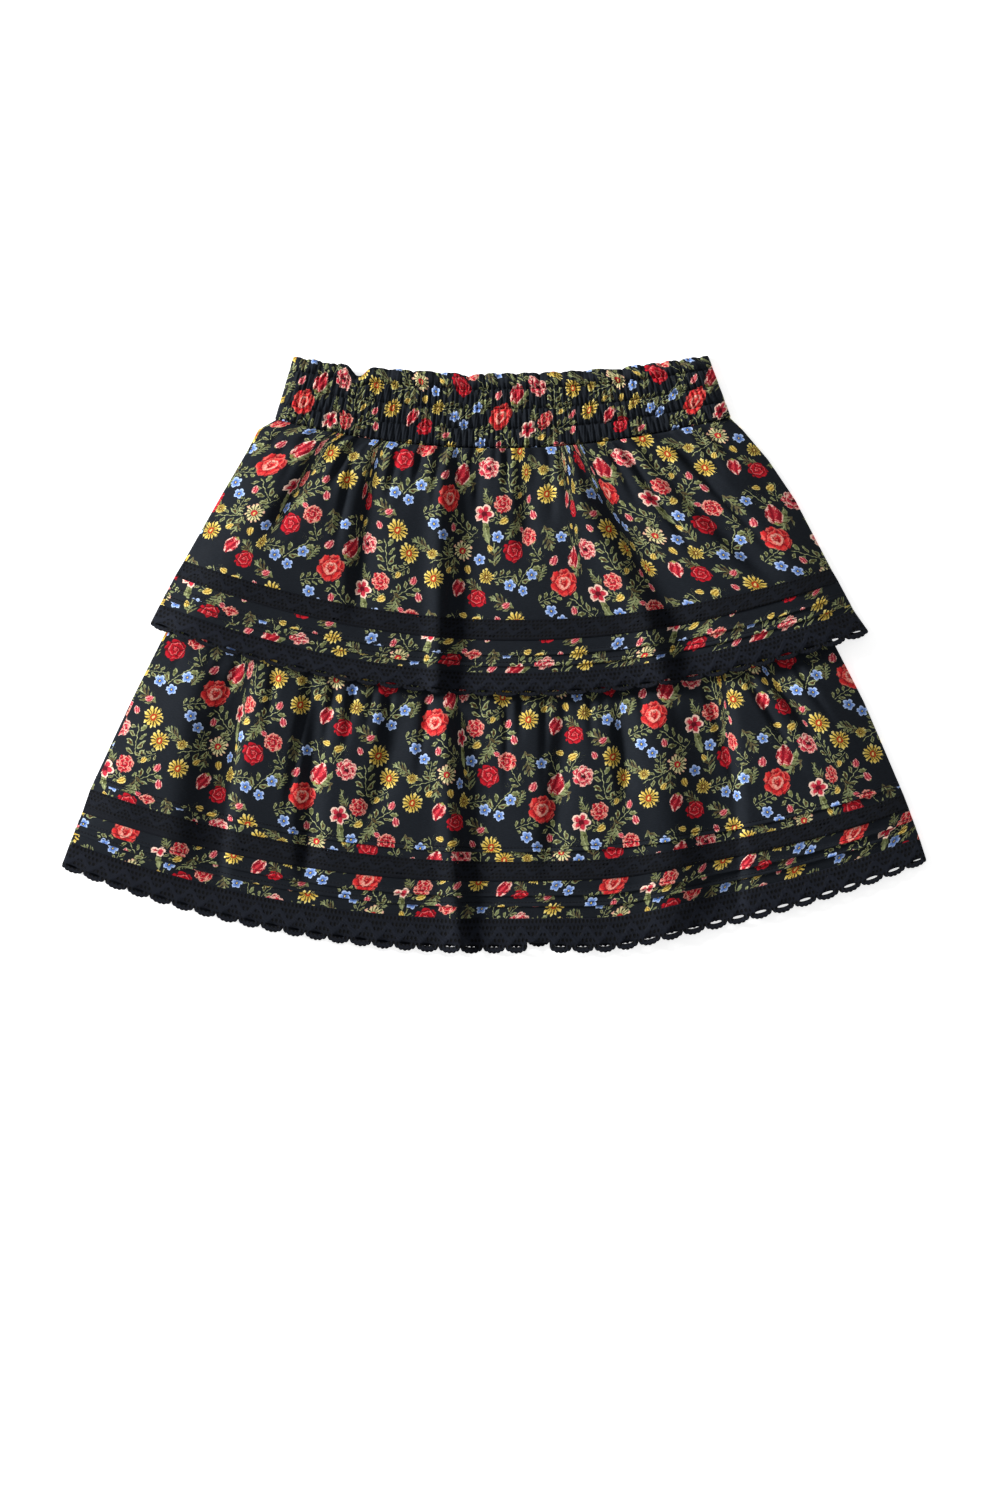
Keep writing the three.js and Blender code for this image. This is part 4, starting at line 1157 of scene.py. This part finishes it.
class Waistband:
    """The waistband's rows run from its frilled top, drop 0, to the waist seam, drop 1."""

    curves = np.array([row_curve(WAIST_TOP), row_curve(WAIST_SEAM)])

    def plan(self, across, drop, back=False):
        curve = self.curves[0][:, :, None, None] * (1 - drop) + self.curves[1][:, :, None, None] * drop
        x, y = (curve * powers(across)).sum(1)
        top = 1 - blend(drop, 0, 0.45)
        for place, depth, half_width in HEADER_DIPS:
            y = y - depth * top * np.exp(-((x - place) / half_width) ** 2)
        if back:
            return x, y - WAIST_BACK_DIP * top * (1 - across ** 2)
        return x, y + FRILL_WAVE * (1 - blend(drop, 0, 0.2)) * (self.frill(across) - 0.7)

    @staticmethod
    def frill(across):
        """Uneven round waves of the header, between 0 in their notches and 1."""
        place = across * PUCKERED_HALF_WIDTH
        place = place + 7 * np.sin(place / 23) + 2.6 * np.sin(place / 9.7 + 1)
        small = np.abs(np.sin(np.pi * place / 7.3 + 1)) ** 0.6
        return 0.75 * np.abs(np.sin(np.pi * place / FRILL_LENGTH)) ** 0.5 + 0.25 * small

    def side_rise(self, across, drop):
        return np.sin(np.pi / 2 * np.clip((1 - np.abs(across)) * BAND_HALF_WIDTH / BAND_ROUNDING, 0, 1))

    @staticmethod
    def from_elastic(drop):
        """Distance to the nearest row of elastic."""
        return np.min([np.abs(drop - line) for line in ELASTIC_ROWS], 0) * BAND_DEPTH

    def gathers(self, across, drop):
        """Fine puckers between -1 and 1 that change at each row of elastic."""
        place = across * PUCKERED_HALF_WIDTH
        row = np.searchsorted(ELASTIC_ROWS, drop)
        near = self.from_elastic(drop)
        bend = 2.2 * np.sin(place / 17 + row * 2.1) + 0.8 * np.sin(drop * 9 + place / 7)
        coarse = 2 * np.abs(np.sin((place + bend) * math.pi / 4.3 + row * 1.2)) ** 0.6 - 1
        fine = np.sin((place - bend) * math.tau / 2.4 + row * 1.1)
        slow = np.sin(place / 6.1 + row * 1.9) * np.sin(place / 2.9 + 1)
        return (coarse + 0.45 * fine + 0.4 * slow * blend(near, 1, 5)) / 1.6

    def front_height(self, across, drop):
        near = self.from_elastic(drop)
        puff = (0.9 * blend(near, 0, 4) + blend(near, 0.2, 1.1)) * blend(drop, 0.03, 0.12)
        header = 1 - blend(drop, 0.1, 0.22)
        pucker = self.gathers(across, drop) * (1.05 - 0.65 * header)
        frill = header * 2.2 * (self.frill(across) - 0.5)
        rise = self.side_rise(across, drop)
        return 3 + BAND_BACK_WALL * (0.6 + 0.3 * rise) + (puff + pucker + frill) * rise

    def back_height(self, across, drop):
        return 0.3 * (1 + self.gathers(-across, drop)) * self.side_rise(across, drop)


def build_waistband():
    around = ring(**BAND_STEPS)
    band = Waistband()
    drops = [drop for drop in np.linspace(0, 1, BAND_ROWS)
             if min(abs(drop - row) for row in ELASTIC_ROWS) > ROW_REACH]
    drops += [row + step for row in ELASTIC_ROWS for step in ROW_STEPS]
    drops = np.array(sorted(drop for drop in drops if drop <= 1))
    places, drop = np.meshgrid(around, drops)
    points = on_tube(band, places, drop)
    pucker = band.gathers(across_of(places)[0], drop)
    cloth = np.stack([run_along(points) * BAND_FULLNESS[0] + pucker * PUCKER_PULL,
                      run_down(points) * BAND_FULLNESS[1] + BAND_PRINT_SHIFT], -1)
    mesh = cloth_mesh("waistband", points, cloth)
    return add_piece(mesh, [PRINTED, REVERSE],
                     front_and_back("waistband"), CLOTH_THICKNESS)


# The shorts, hidden between the tiers' front and back.
SHORTS_ROWS = {
    "centre": (6, 5, 4, 2, 1),
    "inner": (0.2, 0.2, 0.2, 0.2, 22),
    "inner_y": (143.4, 80, 10, -98, -150),
    "outer": (138, 173, 205, 218, 226),
    "outer_y": (158.5, 94, 28, -72, -118),
}
SHORTS_STEPS_DOWN = 28
SHORTS_POINTS_ACROSS = 25
SHORTS_BACK_Z = 3.4
SHORTS_FRONT_Z = 5.7


def build_short_leg(name, side):
    known = np.linspace(0, 1, len(SHORTS_ROWS["centre"]))
    rows = np.linspace(0, 1, SHORTS_STEPS_DOWN + 1)
    out = np.linspace(0, 1, SHORTS_POINTS_ACROSS)
    share = np.concatenate([out, out[::-1]])
    facts = {key: np.interp(rows, known, row)[:, None] for key, row in SHORTS_ROWS.items()}
    x = facts["centre"] + side * (facts["inner"] + (facts["outer"] - facts["inner"]) * share)
    y = facts["inner_y"] + (facts["outer_y"] - facts["inner_y"]) * share ** 2
    heights = np.repeat([SHORTS_FRONT_Z, SHORTS_BACK_Z], SHORTS_POINTS_ACROSS)
    z = np.broadcast_to(heights, x.shape)
    order = slice(None) if side > 0 else slice(None, None, -1)
    points = np.stack([x, y, z], -1)[:, order]
    points = np.concatenate([points, points[:, :1]], 1)
    cloth = np.stack([run_along(points), run_down(points)], -1)
    mesh = cloth_mesh(name, points, cloth, printed=False)
    return add_piece(mesh, [PLAIN], front_and_back(name), CLOTH_THICKNESS)


# Sewing: rows of short stitches along a line of the garment, in metres but for their lift in mm.
STITCH_PITCH = 0.0024
STITCH_RADIUS = 0.00028
STITCH_ENDS = (0.08, 0.88)
STITCH_LINE_POINTS = 4001
BAND_STITCH_LIFT = 0.1
TUCK_STITCH_LIFT = 0.35
TUCK_STITCH_ABOVE = 2.6


def stitch_rows(name, lines):
    """Lines are (form, drop, over): rows of stitches across the front and back of a form."""
    form = bmesh.new()
    for shape, drop, over in lines:
        fine = np.linspace(-1, 3, STITCH_LINE_POINTS)
        points = on_tube(shape, fine[None, :], np.full((1, len(fine)), drop), over)[0] * MM
        points[:, 2] = np.maximum(points[:, 2], STITCH_RADIUS)
        run = np.concatenate([[0], np.cumsum(np.linalg.norm(np.diff(points, axis=0), axis=1))])
        count = int(run[-1] / STITCH_PITCH)
        for number in range(count):
            ends = [np.array([np.interp(run[-1] * (number + part) / count, run, points[:, axis])
                              for axis in range(3)]) for part in STITCH_ENDS]
            add_stitch(form, mathutils.Vector(ends[0]), mathutils.Vector(ends[1]))
    mesh = mesh_from(form, name)
    mesh.shade_smooth()
    return add_piece(mesh, [THREAD])


def add_stitch(form, start, end):
    way = end - start
    turn = way.to_track_quat("Z", "Y").to_matrix().to_4x4()
    place = mathutils.Matrix.Translation((start + end) / 2) @ turn
    bmesh.ops.create_cone(form, segments=4, radius1=STITCH_RADIUS, radius2=STITCH_RADIUS,
                          depth=way.length, matrix=place, cap_ends=True)


waistband = build_waistband()
upper = build_tier("upper", UPPER, 270, 130, 72, (), UPPER_BAND_TUCKS, (3, 8))
lower = build_tier("lower", LOWER, 310, 150, 86, LOWER_TIER_TUCKS, LOWER_BAND_TUCKS, (40, 52))
upper_edge = build_edging("upper", UPPER, UPPER_SCALLOPS)
lower_edge = build_edging("lower", LOWER, LOWER_SCALLOPS)
left_leg = build_short_leg("shorts_left", -1)
right_leg = build_short_leg("shorts_right", 1)

band_form = Waistband()
band_stitches = stitch_rows("waistband_stitches", [
    (band_form, row, BAND_STITCH_LIFT) for row in (*ELASTIC_ROWS[:3], SEAM_STITCH_ROW)])


def tuck_lines(tier, start, end, tucks):
    span = tier.drop[end] - tier.drop[start]
    above = TUCK_STITCH_ABOVE / tier.length
    return [(tier, tier.drop[start] + span * tuck - above, TUCK_STITCH_LIFT) for tuck in tucks]


upper_stitches = stitch_rows("upper_stitches", [
    *tuck_lines(UPPER, "insertion bottom", "band bottom", UPPER_BAND_TUCKS)])
lower_stitches = stitch_rows("lower_stitches", [
    *tuck_lines(LOWER, "seam", "insertion top", LOWER_TIER_TUCKS),
    *tuck_lines(LOWER, "insertion bottom", "band bottom", LOWER_BAND_TUCKS)])

# Table, light and camera, in metres.
FLOOR_HALF_SIZE = 3
FLOOR_GLOW = 0.7
KEY_LIGHT = {"place": (-7.0, 2.4, 3.0), "aim": (0, 0, 0), "size": 2.0, "power": 1070}
ROOM_LIGHT = 0.38
CAMERA_HEIGHT = 3.0
CAMERA_X, CAMERA_Y = 0.0042, -0.0665
SENSOR_WIDTH = 36
FRAME_LENGTH = 1.05


def build_stage():
    form = bmesh.new()
    bmesh.ops.create_grid(form, x_segments=1, y_segments=1, size=FLOOR_HALF_SIZE)
    mesh = mesh_from(form, "floor")
    floor = bpy.data.objects.new("floor", mesh)
    bpy.context.scene.collection.objects.link(floor)
    look = Look("pale floor", 0.9, Emission_Strength=FLOOR_GLOW)
    position = look.node("ShaderNodeTexCoord", output="Object")
    grain = look.noise(position, 40, 2.0)
    pale = look.mix(grain, screen(246, 246, 246), screen(250, 250, 250))
    look.feed("Base Color", pale)
    look.feed("Emission Color", pale)
    mesh.materials.append(look.material)


def add_light(name, place, aim, size, power):
    data = bpy.data.lights.new(name, "AREA")
    data.size = size
    data.energy = power
    light = bpy.data.objects.new(name, data)
    light.location = place
    way = mathutils.Vector(aim) - mathutils.Vector(place)
    light.rotation_euler = way.to_track_quat("-Z", "Y").to_euler()
    bpy.context.scene.collection.objects.link(light)


build_stage()
add_light("key", **KEY_LIGHT)

world = bpy.data.worlds.new("studio")
world.use_nodes = True
world.node_tree.nodes["Background"].inputs["Color"].default_value = (1, 1, 1, 1)
world.node_tree.nodes["Background"].inputs["Strength"].default_value = ROOM_LIGHT
scene = bpy.context.scene
scene.world = world
scene.view_settings.view_transform = "Standard"

camera_data = bpy.data.cameras.new("camera")
camera_data.sensor_fit = "AUTO"
camera_data.sensor_width = SENSOR_WIDTH
camera_data.lens = SENSOR_WIDTH * CAMERA_HEIGHT / FRAME_LENGTH
camera = bpy.data.objects.new("camera", camera_data)
camera.location = (CAMERA_X, CAMERA_Y, CAMERA_HEIGHT)
scene.collection.objects.link(camera)
scene.camera = camera
